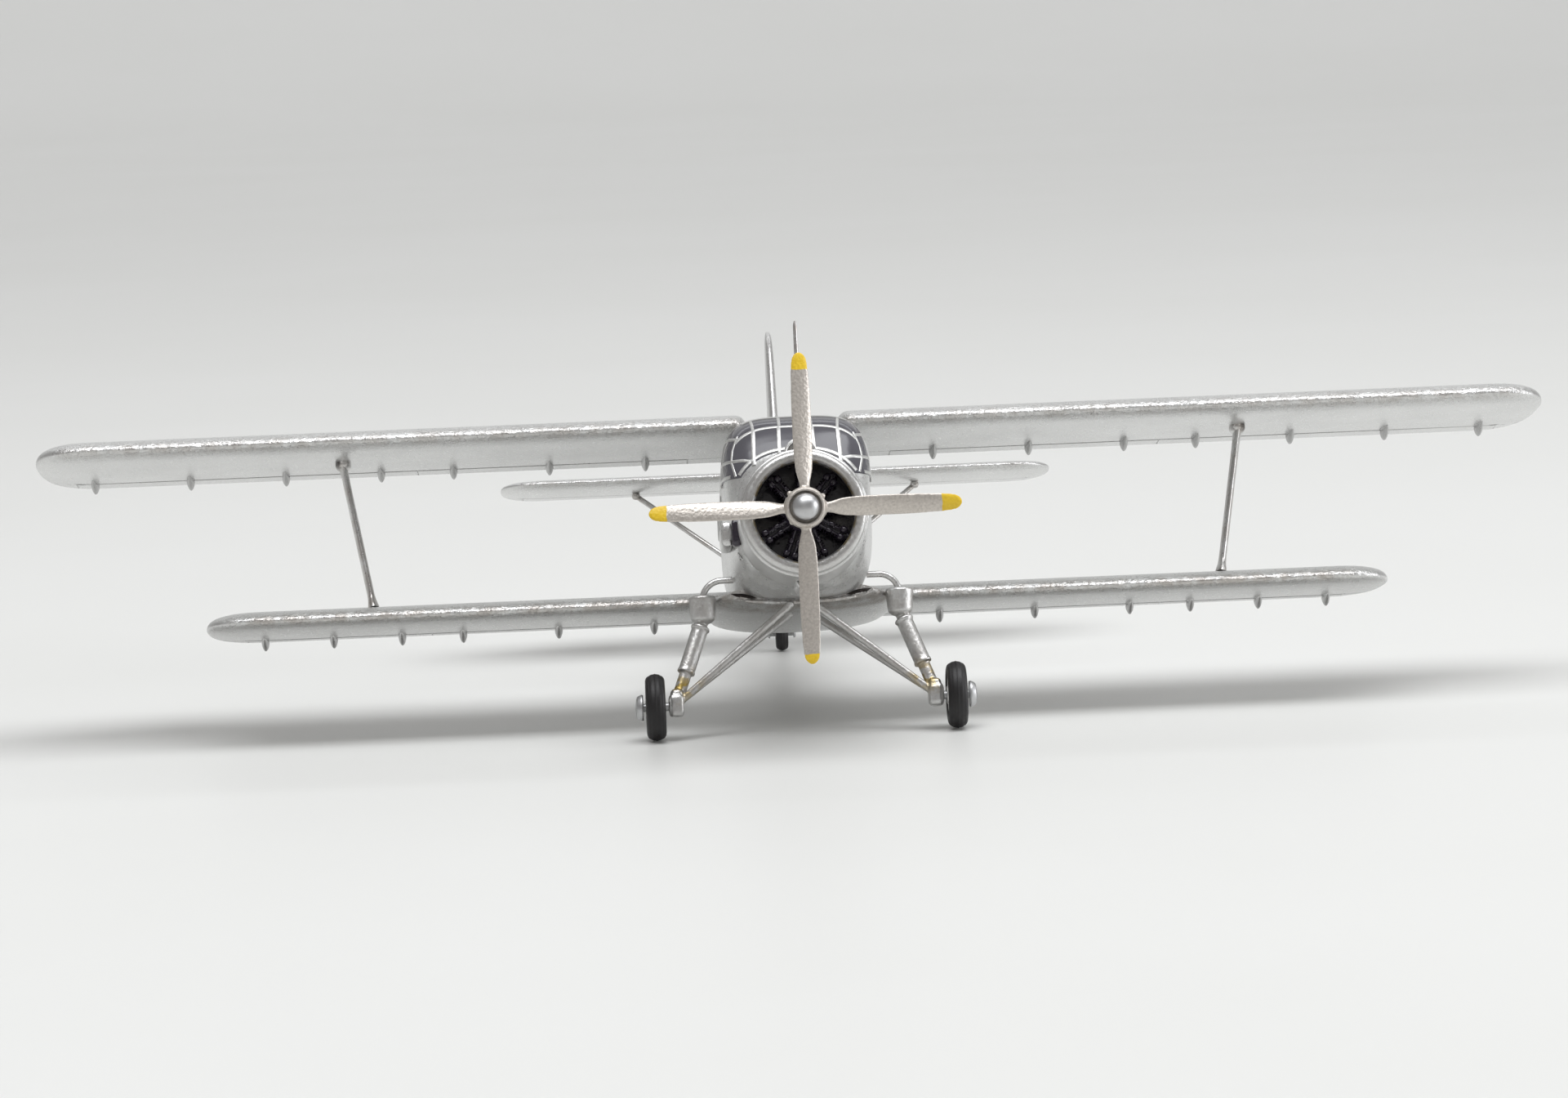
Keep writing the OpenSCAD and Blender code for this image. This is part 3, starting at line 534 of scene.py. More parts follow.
def body_points(y, angle, wide=1.0, proud=0.0):
    """Points of the body's skin at stations y and angles round it, both arrays of one shape."""
    middle, tall, width, above, below = body_size(y, wide, proud)
    cos, sin = np.cos(angle), np.sin(angle)
    power = np.where(sin > 0, above, below)
    reach = ((np.abs(cos) / width) ** power + (np.abs(sin) / tall) ** power) ** (-1 / power)
    return np.stack([reach * cos, y, middle + reach * sin], -1)


# %% [markdown]
# The fuselage skin carries the engraved door and hatch outlines of such an aircraft: a large freight door
# with a smaller door in it on the port side, and a ring where the tail cone is riveted on.

# %% Fuselage skin
DOOR_Y = (26.8, 28.6, 31.4)
DOOR_ANGLES = (-0.62, 0.34)
TAIL_RING_Y = 44.0


def fuselage_rings():
    """Grid of stations by angles with grooves round the doors and the tail ring."""
    y = with_cuts(np.concatenate([np.linspace(NOSE_Y, 15, 46), np.linspace(15.3, STERN_Y, 110)]),
                  [*DOOR_Y, TAIL_RING_Y])
    angle_w = CUT_W / 4.4
    angle = with_cuts(np.linspace(-math.pi / 2, 1.5 * math.pi, 180, endpoint=False), DOOR_ANGLES, angle_w)
    yy, aa = np.meshgrid(y, angle, indexing="ij")
    rings = body_points(yy, aa)
    in_door = (aa > DOOR_ANGLES[0] - angle_w) & (aa < DOOR_ANGLES[1] + angle_w)
    beside_door = (yy > DOOR_Y[0] - CUT_W) & (yy < DOOR_Y[-1] + CUT_W)
    depth = np.maximum(cut_at(yy, DOOR_Y) * in_door, cut_at(aa, DOOR_ANGLES, angle_w) * beside_door)
    depth = np.maximum(depth, cut_at(yy, [TAIL_RING_Y]))
    return engrave(rings, depth * CUT_DEEP)


# height, leading edge, trailing edge, thickness
FIN_Z = level_box("fuselage")[1][2]
FIN_ROWS = np.array([
    [4, 57, 61.3, 0.5],
    [6, 46.5, 61.6, 1.2],
    [7.75, 48, 61.8, 1.3],
    [9, 48.9, 61.85, 0.85],
    [FIN_Z * 0.58, 49.7, 61.8, 0.62],
    [FIN_Z * 0.78, 51.4, 61.3, 0.55],
    [FIN_Z * 0.9, 52.8, 60.6, 0.5],
    [FIN_Z * 0.96, 53.9, 59.9, 0.42],
    [FIN_Z * 0.985, 54.8, 59.1, 0.32],
    [FIN_Z, 56, 58, 0.18],
])
RUDDER_SHARE = 0.64
print("body half width", round(HALF_W, 3), "fin height", round(FIN_Z, 2))

# %% [markdown]
# ## Wing sections
#
# Wings, tailplane and fin share one section: the classic four-digit aerofoil, whose half thickness is
# 5t(0.2969 sqrt(x) - 0.126x - 0.3516x^2 + 0.2843x^3 - 0.1036x^4), with a blunt trailing edge because metal
# can't be cast to a knife edge.  A rounded tip shrinks that section about 45 percent of its chord.


# %% Sections and surfaces
def section(thick, camber, blunt, cuts=(), n=44, cut_w=CUT_W / 10):
    """Outline of unit chord from the nose over the top and back underneath, as (share, height).  Points
    crowd at the nose, because share = (1 - cos)/2."""
    share = with_cuts((1 - np.cos(np.linspace(0, math.pi, n))) / 2, cuts, cut_w)
    half = 5 * thick * (0.2969 * np.sqrt(share) - 0.126 * share - 0.3516 * share ** 2
                        + 0.2843 * share ** 3 - 0.1036 * share ** 4) + blunt * share / 2
    bow = 0.8 * share - share ** 2
    mean = camber * np.where(share < 0.4, bow / 0.16, (0.2 + bow) / 0.36)
    return np.concatenate([np.stack([share, mean + half], -1), np.stack([share, mean - half], -1)[:0:-1]])


def tip_scale(past, length):
    """What is left of the chord a distance past the start of a rounded tip: (1 - (s/l)^2.6)^(1/2.6)."""
    return (1 - np.clip(past / length, 0, 1) ** 2.6) ** (1 / 2.6)


def surface_rings(outline, x, scale, wing):
    """Wing rings: the outline at each station x, shrunk by scale, sized by the wing's chord, pitched nose up
    by its angle and moved so that the leading edge is at its y and z."""
    share = 0.45 + (outline[:, 0] - 0.45) * scale[:, None]
    rise = outline[:, 1] * scale[:, None]
    cos, sin = math.cos(wing["angle"]), math.sin(wing["angle"])
    return np.stack([
        np.broadcast_to(x[:, None], share.shape),
        wing["y"] + wing["chord"] * (share * cos + rise * sin),
        wing["z"] + wing["chord"] * (rise * cos - share * sin),
    ], -1)


def span_stations(root, half, tip, root_round, cuts):
    """Stations from root to tip, crowded where either end is rounded."""
    ease = np.sin(np.linspace(0, math.radians(89), 22))
    inner = root + root_round * (1 - ease[::-1]) if root_round else np.array([root])
    outer = half - tip + tip * ease
    straight = np.linspace(root + root_round, half - tip, 60)
    return with_cuts(np.unique(np.concatenate([inner, straight, outer])), cuts)


def wing_half(wing, root, half, tip, thick, camber, hinge, ends, root_round=0.0):
    """Half a wing from root to half span: `hinge` is the share of the chord at which its control surfaces
    hang, and `ends` are the stations at which they begin and end.  Grooves follow both."""
    outline = section(thick, camber, 0.02, [hinge], cut_w=HINGE_W)
    x = span_stations(root, half, tip, root_round, ends)
    scale = tip_scale(x - half + tip, tip)
    if root_round:
        scale = scale * tip_scale(root + root_round - x, root_round * 1.0001)
    rings = surface_rings(outline, x, np.maximum(scale, 0.01), wing)
    behind = outline[:, 0] > hinge - 1e-6
    inside = (x > min(ends) - CUT_W) & (x < max(ends) + CUT_W)
    along = cut_at(outline[:, 0], [hinge], HINGE_W) * inside[:, None] * HINGE_DEEP
    across = cut_at(x, ends)[:, None] * behind * CUT_DEEP
    return skin(engrave(rings, np.maximum(along, across) * np.minimum(scale, 1)[:, None]))


def hinge_drop(x, y, z, length):
    """A hinge fairing: a slim drop that starts as a point on the wing's skin and swells to 0.48 wide and 0.96
    deep two thirds of the way back, by sin(pi a^1.5)."""
    along = np.linspace(0.02, 0.98, 21)
    swell = np.sin(math.pi * along ** 1.5) ** 0.9
    turn = np.linspace(0, 2 * math.pi, 24, endpoint=False)
    side = 0.24 * np.cos(turn) * (1 - 0.2 * np.abs(np.sin(turn)))
    deep = 0.48 * np.sin(turn) - 0.2
    rings = np.stack(np.broadcast_arrays(
        x + swell[:, None] * side, (y + length * along)[:, None], z + swell[:, None] * deep), -1)
    return skin(rings)


def flat_marks(wrinkle, tarnish):
    """Marks for a small piece that is the same all over."""
    return lambda level: {"wrinkle": wrinkle, "tarnish": tarnish}


def leading_marks(wing, tarnished=0.4, hinge=0.83, line_w=0.006):
    """Marks for a wing: wrinkled paint on the first eighth of the chord, thin brown paint at its rim, painted
    shade in the bottom of the hinge line, and painted shade on the drops, which hang 0.34 mm or more below
    the chord."""
    def marks(level):
        share = (level[:, 1] - wing["y"]) / wing["chord"]
        nose = np.clip(1 - share / 0.13, 0, 1)
        chord_z = wing["z"] - share * wing["chord"] * math.tan(wing["angle"])
        hanging = (share > 0.6) & (share < 0.95) & (level[:, 2] < chord_z - 0.34)
        # The dark mark is painted shade, in the hinge groove and on the drops hanging below the chord.
        return {"wrinkle": 0.03 + 1.5 * nose ** 0.6, "tarnish": tarnished * np.clip(1 - share / 0.06, 0, 1),
                "dirt": np.maximum((np.abs(share - hinge) < line_w) * 0.5, hanging * 0.4)}
    return marks


# %% [markdown]
# ## Wings
#
# The upper wing is two panels that meet the cabin roof and the lower one is a single casting with the belly
# pan under the cabin, as on the real model.  Slotted flaps fill the inner part of each trailing edge and
# ailerons the outer part; each hangs on the little drops that show below the wing.

# %% Upper wing panels
UPPER = {"chord": 12.0, "y": UPPER_Y, "z": 6.82, "angle": math.radians(3.5)}
LOWER = {"chord": 10.0, "y": 15.3, "z": -3.65, "angle": math.radians(1.5)}
TIP_LEN = 3.6
THICK, CAMBER = 0.12, 0.025
WING_CREASE = 26
HINGE = 0.83
HINGE_W, HINGE_DEEP = 0.034, 0.14
UPPER_HALF = level_box("upper_wing_left")[1][0]
LOWER_HALF = level_box("lower_wing")[1][0]
UPPER_ROOT = HALF_W - 1.75


def hinge_row(flap_in, aileron_in, step, outer, ailerons):
    """Stations of the hinge drops: three along the flap, then an even row along the aileron."""
    flap = np.linspace(flap_in, aileron_in - step, 3)
    return np.concatenate([flap, np.linspace(aileron_in, outer, ailerons)])


def drops(stations, wing):
    """Hinge drops under a wing, from 0.62 of its chord to 0.92."""
    y = wing["y"] + wing["chord"] * 0.62
    z = wing["z"] - wing["chord"] * (0.75 * math.tan(wing["angle"]) + 0.02)
    return [hinge_drop(x, y, z, wing["chord"] * 0.3) for x in stations]


upper_hinges = hinge_row(8.8, 24.9, 4.4, UPPER_HALF - TIP_LEN + 0.45, 4)
upper_panel = wing_half(UPPER, UPPER_ROOT, UPPER_HALF, TIP_LEN, THICK, CAMBER, HINGE,
                        [6.2, 22.7, UPPER_HALF - TIP_LEN + 1.6], root_round=0.9)
upper_shapes = [upper_panel, *drops(upper_hinges, UPPER)]
for side, flip in SIDES:
    piece(f"upper_panel_{side}", [flip(shape) for shape in upper_shapes], SILVER,
          [f"upper_wing_{side}"], crease=WING_CREASE, marks=leading_marks(UPPER))

# %% [markdown]
# The belly pan closes the body under the lower wing.  It is a shallow dish with a raised lip at its front.
# The dark line between the lip and the body is painted shade: a dark lens over each end of the lip.

# %% Lower wing and belly pan
# station, depth below the belly, half width
PAN = np.array([
    [13.5, 0.15, HALF_W - 0.1], [14.4, 0.4, HALF_W + 0.5], [16.5, 0.62, HALF_W + 1.1],
    [20, 0.75, HALF_W + 1.3], [25, 0.78, HALF_W + 0.9], [28, 0.62, HALF_W + 0.2], [30, 0.4, HALF_W - 0.5],
])


def pan_shape(n=72):
    """Squared ellipses of power 2.4 from 0.9 above the belly down to the keel, eased along the pan."""
    y = np.linspace(PAN[0, 0], PAN[-1, 0], 50)
    deep, width = between(y, PAN[:, 0], PAN[:, 1]), between(y, PAN[:, 0], PAN[:, 2])
    top, bottom = np.full_like(y, BELLY + 0.9), BELLY - deep
    outline = ellipse(1, 1, n, 2.4)
    return skin(np.stack([
        width[:, None] * outline[:, 0], np.broadcast_to(y[:, None], (len(y), n)),
        (top + bottom)[:, None] / 2 + (top - bottom)[:, None] / 2 * outline[:, 1]], -1))


def bead_z(x):
    """Height of the pan's lip across the body: 0.5 mm lower in the middle than at the wing roots."""
    return BELLY - 0.2 + 0.5 * np.clip(np.abs(x) / HALF_W, 0, 1.2) ** 2.5


def pan_bead():
    """The lip of the pan: a thin bead from one wing root to the other."""
    x = np.linspace(-HALF_W - 0.5, HALF_W + 0.5, 70)
    bow = np.clip(np.abs(x) / HALF_W, 0, 1.2)
    path = np.stack([x, 13.35 + 1.5 * bow ** 6, bead_z(x)], -1)
    return swept(path, ellipse(0.12, 0.12, 16), np.where(bow < 1.1, 1, 0.3), (0, 1, 0))


def pan_gap_shade():
    """Painted shade over the port end of the lip, where the body's corner curves away from the pan: a dark
    lens
    0.3 mm tall that thins to nothing at both ends, by sin(pi a)."""
    share = np.linspace(0, 1, 30)
    x = HALF_W * (0.6 + 0.36 * share)
    path = np.stack([x, np.full(30, 13.3), bead_z(x) + 0.2], -1)
    return swept(path, ellipse(0.1, 0.15, 16), np.maximum(np.sin(math.pi * share), 0.03), (0, 1, 0))


def pan_marks(level):
    """A wing's marks outside the pan, and painted shade on the dark lens above the lip."""
    marks = leading_marks(LOWER, 0.6, line_w=0.02)(level)
    x, y, z = level.T
    clear_of_pan = np.abs(x) > HALF_W + 1.5
    # Painted shade: the lens above the lip is darkened fully, standing in for the shaded gap under the body.
    joint = (y < 13.45) & (z > bead_z(x) + 0.1) & (np.abs(x) > HALF_W * 0.5)
    marks["dirt"] = np.maximum(marks["dirt"] * clear_of_pan, joint)
    return marks


lower_hinges = hinge_row(8.7, 24, 3.7, LOWER_HALF - TIP_LEN + 0.3, 3)
lower_panel = wing_half(LOWER, 1.0, LOWER_HALF, TIP_LEN, THICK, CAMBER, HINGE,
                        [5.2, 22.2, LOWER_HALF - TIP_LEN + 1.4])
lower_half = [lower_panel, *drops(lower_hinges, LOWER)]
lower_half = [pan_gap_shade(), *lower_half]
piece("lower_wing_casting", [pan_shape(), pan_bead(), *lower_half, *map(mirrored, lower_half)], SILVER,
      ["lower_wing"], crease=WING_CREASE, marks=pan_marks)

# %% [markdown]
# ## Fuselage and fin
#
# The fin is cast with the body.  Its rings lie flat, one above the other, and a groove at 64 percent of the
# chord marks the rudder.


# %% Fuselage casting
def fin_shape():
    """Rings at heights z of a section with a round nose, 7 percent of the chord long, and a tapered tail."""
    top = 0.9 + 0.1 * np.sin(np.linspace(0.1, math.pi / 2, 18))
    z = np.concatenate([np.linspace(4, FIN_Z * 0.9, 44), FIN_Z * top])
    nose, tail, thick = (between(z, FIN_ROWS[:, 0], FIN_ROWS[:, k]) for k in (1, 2, 3))
    share = with_cuts((1 - np.cos(np.linspace(0, math.pi, 48))) / 2, [RUDDER_SHARE], CUT_W / 10)
    nose_round = np.sqrt(1 - (1 - np.minimum(share / 0.07, 1)) ** 2)
    half = 0.5 * nose_round * (1 - 0.8 * np.clip((share - 0.3) / 0.7, 0, 1) ** 1.3)
    outline = np.concatenate([np.stack([share, half], -1), np.stack([share, -half], -1)[:0:-1]])
    chord = tail - nose
    rings = np.stack([
        -outline[:, 1] * thick[:, None],
        nose[:, None] + outline[:, 0] * chord[:, None],
        np.broadcast_to(z[:, None], (len(z), len(outline)))], -1)
    depth = cut_at(outline[:, 0], [RUDDER_SHARE], CUT_W / 10) * (z > 7.9)[:, None]
    return skin(engrave(rings, depth * CUT_DEEP))


def body_marks(level):
    """A little wrinkle everywhere, more along the fin's leading edge."""
    fin = (level[:, 2] > 7.6) & (level[:, 1] < 54)
    return {"wrinkle": 0.05 + 0.2 * fin, "tarnish": 0.1 * fin}


piece("fuselage_casting", [skin(fuselage_rings()), fin_shape()], SILVER, ["fuselage"], marks=body_marks)

# %% [markdown]
# ## Cockpit hood
#
# One smoked moulding covers the cockpit.  It stands a little proud of the body, so the sides bulge over
# the sill as they do on the real aircraft, and its lower front edge follows the round deck behind the
# cowling.  At each station the arc that is glazed runs between the two points where the section crosses
# the sill or the deck.

# %% Smoked plastic
GLASS, glass_shader = new_finish("smoked_acrylic")
glass_at = node(GLASS, "TexCoord", {}).outputs["Object"]
haze = node(GLASS, "TexNoise", {"Vector": glass_at, "Scale": per_mm(3), "Detail": 2}).outputs["Fac"]
glass_tint = node(GLASS, "Mix", {0: haze, 6: linear("#47464B"), 7: linear("#5C5B61")},
                  data_type="RGBA").outputs[2]
glass_wave = node(GLASS, "TexNoise", {"Vector": glass_at, "Scale": per_mm(2.2), "Detail": 1}).outputs["Fac"]
glass_bump = node(GLASS, "Bump", {"Height": glass_wave, "Strength": 0.5, "Distance": 0.00005}).outputs[0]
feed(GLASS, glass_shader, {"Base Color": glass_tint, "Roughness": 0.18, "IOR": 1.49, "Normal": glass_bump})

# %% Hood shell
BULGE, PROUD = 1.02, 0.05


def hood_arcs(y, n=90):
    """Angles of the glazed arc at each station: the first and last of a fine scan at which the skin is above
    the sill and outside the deck."""
    scan = np.linspace(0, math.pi, 4001)
    yy, aa = np.meshgrid(y, scan, indexing="ij")
    points = body_points(yy, aa, BULGE, PROUD)
    glazed = (points[..., 2] >= SILL_Z) & (np.hypot(points[..., 0], points[..., 2]) >= DECK_R + 0.01)
    first = scan[glazed.argmax(1)]
    return first[:, None] + (math.pi - 2 * first[:, None]) * np.linspace(0, 1, n)


screen_y = SCREEN_Y + 0.04 + 1.6 * np.linspace(0, 1, 46) ** 1.6
hood_y = np.concatenate([screen_y, np.linspace(11.6, HOOD_END_Y, 30)])
hood_arc = hood_arcs(hood_y)
hood_yy = np.broadcast_to(hood_y[:, None], hood_arc.shape)
outside = body_points(hood_yy, hood_arc, BULGE, PROUD)
inside = body_points(hood_yy, hood_arc, BULGE - 0.05, PROUD - 0.2)
hood_shell = skin(np.concatenate([outside, inside[:, ::-1]], 1), "laced")
piece("hood_moulding", [hood_shell], GLASS, ["cockpit_hood"], crease=50)

# %% [markdown]
# The frames are silver ink, printed over the moulding.  Ink has a thickness, so each bar is a thin strip
# laid on the hood: its line is drawn in front, side or plan view and pressed on to the surface, and the
# surface's own normal lifts it.


# %% Printed frames
def hood_level(points):
    """Below 1 inside the hood's surface, 1 on it and above 1 outside."""
    x, y, z = np.moveaxis(points, -1, 0)
    middle, tall, width, above, _ = body_size(y, BULGE, PROUD)
    return (np.abs(x) / width) ** above + (np.abs(z - middle) / tall) ** above


def hood_normal(points):
    """Direction in which hood_level grows, from its change over a short step along each axis."""
    step = 1e-3 * np.eye(3)
    rise = np.stack([hood_level(points + s) - hood_level(points - s) for s in step], -1)
    return rise / np.linalg.norm(rise, axis=-1)[..., None]


def press(points, axis, low, high):
    """Points moved along one axis on to the hood, by halving the gap between inside and outside 40 times."""
    points = np.array(points, float)
    low, high = np.full(len(points), float(low)), np.full(len(points), float(high))
    for _ in range(40):
        points[:, axis] = (low + high) / 2
        within = hood_level(points) < 1
        low, high = np.where(within, points[:, axis], low), np.where(within, high, points[:, axis])
    return points


def line(*corners, n=26):
    """Even points along a line through a few corners."""
    corners = np.array(corners, float)
    reach = np.concatenate([[0], np.cumsum(np.linalg.norm(np.diff(corners, axis=0), axis=1))])
    at = np.linspace(0, reach[-1], n)
    return np.stack([np.interp(at, reach, corners[:, k]) for k in range(3)], -1)


def strip(path, width, height=0.035, sink=0.06):
    """A flat bar along a path on the hood: a low outline with soft shoulders, lifted along the normal."""
    along = np.gradient(path, axis=0)
    normal = hood_normal(path)
    side = np.cross(along, normal)
    side /= np.linalg.norm(side, axis=1)[:, None]
    reach = np.array([-1, -1, -0.75, 0, 0.75, 1, 1]) * width / 2
    lift = np.array([-sink, height * 0.4, height * 0.95, height, height * 0.95, height * 0.4, -sink])
    return skin(path[:, None] + reach[None, :, None] * side[:, None] + lift[None, :, None] * normal[:, None])


TOP_BAR_Y = 11.34
WAIST_Z = 4.12
ROOF_Y = 12.75


def front_line(*corners):
    """A line drawn from in front, as (x, z), and pressed back on to the hood."""
    return press(line(*[(x, 0, z) for x, z in corners]), 1, 17, 9)


def side_line(*corners):
    """A line drawn from the port side, as (y, z), and pressed in."""
    return press(line(*[(0, y, z) for y, z in corners]), 0, 0, 6)


def roof_line(*corners):
    """A line drawn from above, as (x, y), and pressed down."""
    return press(line(*[(x, y, 0) for x, y in corners]), 2, 2, 9)


def hoop(y, first, last, n=60):
    """A line round the hood at one station, between two angles."""
    return body_points(np.full(n, float(y)), np.linspace(first, last, n), BULGE, PROUD)


port_bars = [
    strip(front_line((1.04, 4.4), (0.98, 6.2)), 0.24),
    strip(front_line((2.58, 3.75), (2.5, 6.0)), 0.26),
    strip(front_line((2.55, 4.0), (3.2, WAIST_Z), (3.85, WAIST_Z)), 0.2),
    strip(front_line((3.45, 5.7), (3.78, 4.8), (3.88, WAIST_Z), (3.66, 3.15)), 0.16),
    strip(side_line((10.9, WAIST_Z), (HOOD_END_Y - 0.1, WAIST_Z + 0.05)), 0.2),
    strip(side_line((11.35, 5.5), (12.4, 5.62), (HOOD_END_Y - 0.1, 5.66)), 0.2),
    strip(side_line((12.35, 3.2), (12.4, 5.62)), 0.18),
    strip(roof_line((0.94, 11.4), (0.94, ROOF_Y)), 0.2),
    strip(roof_line((2.5, 11.35), (2.6, ROOF_Y)), 0.18),
    strip(side_line((10.55, SILL_Z + 0.1), (HOOD_END_Y - 0.05, SILL_Z + 0.1)), 0.2),
]
sill_angle = hood_arc[6, 0] + 0.02
middle_bars = [
    strip(hoop(SCREEN_Y + 0.15, sill_angle, math.pi - sill_angle), 0.26),
    strip(hoop(TOP_BAR_Y, 0.86, math.pi - 0.86), 0.24),
    strip(hoop(HOOD_END_Y - 0.18, 0.3, math.pi - 0.3), 0.34),
    strip(hoop(ROOF_Y + 0.45, 1.02, math.pi - 1.02), 1.1),
]
INK = silver_lacquer("silver_ink", "#D4D4D2", "#C3C3C1", 0.4, 0.2, 0.08)
piece("hood_frames", [*port_bars, *map(mirrored, port_bars), *middle_bars], INK, crease=60)

# %% [markdown]
# Handling has rubbed the lacquer down to a brassy colour on the cowling's lip and on the legs.  The mark
# `brass` says where, and noise breaks its edge up.

# %% Rubbed lacquer
WORN = silver_lacquer("rubbed_silver_lacquer", "#D2D2D1", "#C0BFBD", 0.34)
worn_shader = WORN.node_tree.nodes["Principled BSDF"]
worn_paint = worn_shader.inputs["Base Color"].links[0].from_socket
worn_at = node(WORN, "TexCoord", {}).outputs["Object"]
brass_mark = node(WORN, "Attribute", {}, attribute_name="brass").outputs["Fac"]
brass_spots = node(WORN, "TexNoise", {"Vector": worn_at, "Scale": per_mm(0.7), "Detail": 3}).outputs["Fac"]
brass_edge = node(WORN, "MapRange", {"Value": brass_spots, "From Min": 0.47, "From Max": 0.56}).outputs[0]
brass_share = node(WORN, "Math", {0: brass_mark, 1: brass_edge}, operation="MULTIPLY").outputs[0]
worn_tint = node(WORN, "Mix", {0: brass_share, 6: worn_paint, 7: linear("#A8904A")},
                 data_type="RGBA").outputs[2]
feed(WORN, worn_shader, {"Base Color": worn_tint})

# %% [markdown]
# ## Nose
#
# The cowling is a turned ring: a rolled lip, a shallow step, a long barrel and a skirt of cooling gills at
# the back.  Behind the lip the engine moulding is black, and a black ring laid inside the barrel is painted
# shade, so the opening reads as a dark hole with nine finned cylinders in it.

# %% Cowling
COWL_Y, MOUTH_R, BARREL_R = 1.75, 2.9, 3.2


def cowl_shape(n=216, gills=24):
    """Closed profile spun about the thrust line: lip as a half circle, barrel outside and inside, and gills
    as grooves where 24 equal angles cross the skirt."""
    roll = (COWL_R - 0.15 - MOUTH_R) / 2
    turn = np.linspace(math.pi * 0.08, math.pi, 14)
    lip = np.stack([roll - roll * np.sin(turn), MOUTH_R + roll + roll * np.cos(turn)], -1)
    long = NOSE_Y - COWL_Y
    outer = [[long - 0.02, COWL_R - 0.02], [long - 0.8, COWL_R], [long - 0.84, COWL_R - 0.05],
             [long - 0.92, COWL_R - 0.05], [long - 0.96, COWL_R], [0.86, COWL_R], [0.78, COWL_R - 0.02],
             [0.74, COWL_R - 0.13], [0.6, COWL_R - 0.15]]
    inner = [[0.62, MOUTH_R + 0.02], [0.95, BARREL_R - 0.02], [1.2, BARREL_R], [long - 0.1, BARREL_R],
             [long, COWL_R - 0.2]]
    profile = np.concatenate([soften(outer, 0.04, 3), lip, soften(inner, 0.1, 3)])
    angle = np.linspace(0, 2 * math.pi, n, endpoint=False)
    cut = np.clip(1 - np.abs((angle * gills / (2 * math.pi) + 0.5) % 1 - 0.5) * 16, 0, 1)
    on_skirt = (profile[:, 0] > long - 0.82) & (profile[:, 1] > COWL_R - 0.1)
    radius = profile[:, 1:] - 0.05 * on_skirt[:, None] * cut
    rings = np.stack([radius * np.cos(angle), np.broadcast_to(COWL_Y + profile[:, :1], radius.shape),
                      radius * np.sin(angle)], -1)
    return skin(rings, "joined")


def cowl_marks(level):
    """Wrinkled paint with thin patches on the lip, and brass on its inner rim."""
    lip = np.clip((COWL_Y + 0.7 - level[:, 1]) / 0.7, 0, 1)
    rim = np.clip((MOUTH_R + 0.16 - np.hypot(level[:, 0], level[:, 2])) / 0.1, 0, 1)
    return {"wrinkle": 0.04 + 0.3 * lip, "tarnish": 0.1 * lip, "brass": rim * lip}


piece("cowl_ring", [cowl_shape()], WORN, ["cowling"], marks=cowl_marks)

# %% [markdown]
# The engine is injection moulded in black, slightly shiny on the high spots.  One cylinder is drawn and
# turned to nine places: a barrel with cooling fins, with boxes and pushrods in front of it.

# %% Black moulding
BLACK, black_shader = new_finish("black_polystyrene")
black_at = node(BLACK, "TexCoord", {}).outputs["Object"]
speck = node(BLACK, "TexNoise", {"Vector": black_at, "Scale": per_mm(0.3), "Detail": 3}).outputs["Fac"]
black_tint = node(BLACK, "Mix", {0: speck, 6: linear("#1B161E"), 7: linear("#342D3A")},
                  data_type="RGBA").outputs[2]
black_bump = node(BLACK, "Bump", {"Height": speck, "Strength": 0.8, "Distance": 0.00004}).outputs[0]
black_dull = node(BLACK, "MapRange", {"Value": speck, "To Min": 0.08, "To Max": 0.22}).outputs[0]
feed(BLACK, black_shader, {"Base Color": black_tint, "Roughness": black_dull, "IOR": 1.59,
                           "Normal": black_bump})

# %% Radial engine
CYLINDERS = 9
BANK_Y = 3.5
FIREWALL_Y = 5.2


def around(shape, turn):
    """A shape turned about the thrust line."""
    points, quads, tris = shape
    cos, sin = math.cos(turn), math.sin(turn)
    spin = np.array([[cos, 0, sin], [0, 1, 0], [-sin, 0, cos]])
    return points @ spin.T, quads, tris


def box(centre, size, power=5, n=28, rings=11):
    """A rounded block: squared ellipses whose size follows the same rule from bottom to top."""
    level = np.sin(np.linspace(-math.pi / 2 + 0.05, math.pi / 2 - 0.05, rings))
    shrink = (1 - np.abs(level) ** power) ** (1 / power)
    outline = ellipse(size[0] / 2, size[1] / 2, n, power)
    height = np.broadcast_to(level[:, None, None] * size[2] / 2, (len(level), n, 1))
    return skin(np.concatenate([shrink[:, None, None] * outline, height], -1) + np.asarray(centre))


def cylinder_shapes():
    """One cylinder pointing up: a finned barrel, and on each side a rocker box, a smaller block below it,
    a pushrod and a short stud."""
    base, pitch, fins = 1.25, 0.17, 9
    step = base + pitch * np.arange(fins)[:, None]
    height = np.concatenate([step, step + 0.07, step + 0.08, step + pitch - 0.01], 1).ravel()
    radius = np.tile([0.44, 0.44, 0.3, 0.3], fins)
    profile = np.stack([np.concatenate([[0.6], height, [2.9]]), np.concatenate([[0.32], radius, [0.24]])], -1)
    shapes = [turned(profile, [0, BANK_Y, 0], [0, 0, 1], 28)]
    for side in (-1, 1):
        shapes.append(box([side * 0.24, BANK_Y - 0.5, 2.5], [0.42, 0.55, 0.46], 2.4))
        shapes.append(box([side * 0.2, BANK_Y - 0.62, 1.72], [0.26, 0.26, 0.4], 2.3))
        shapes.append(rod([side * 0.17, 2.72, 0.9], [side * 0.19, 3.1, 2.6], 0.07, 12))
        shapes.append(rod([side * 0.17, 2.85, 2.64], [side * 0.17, 3.1, 2.64], 0.09, 12))
    return shapes


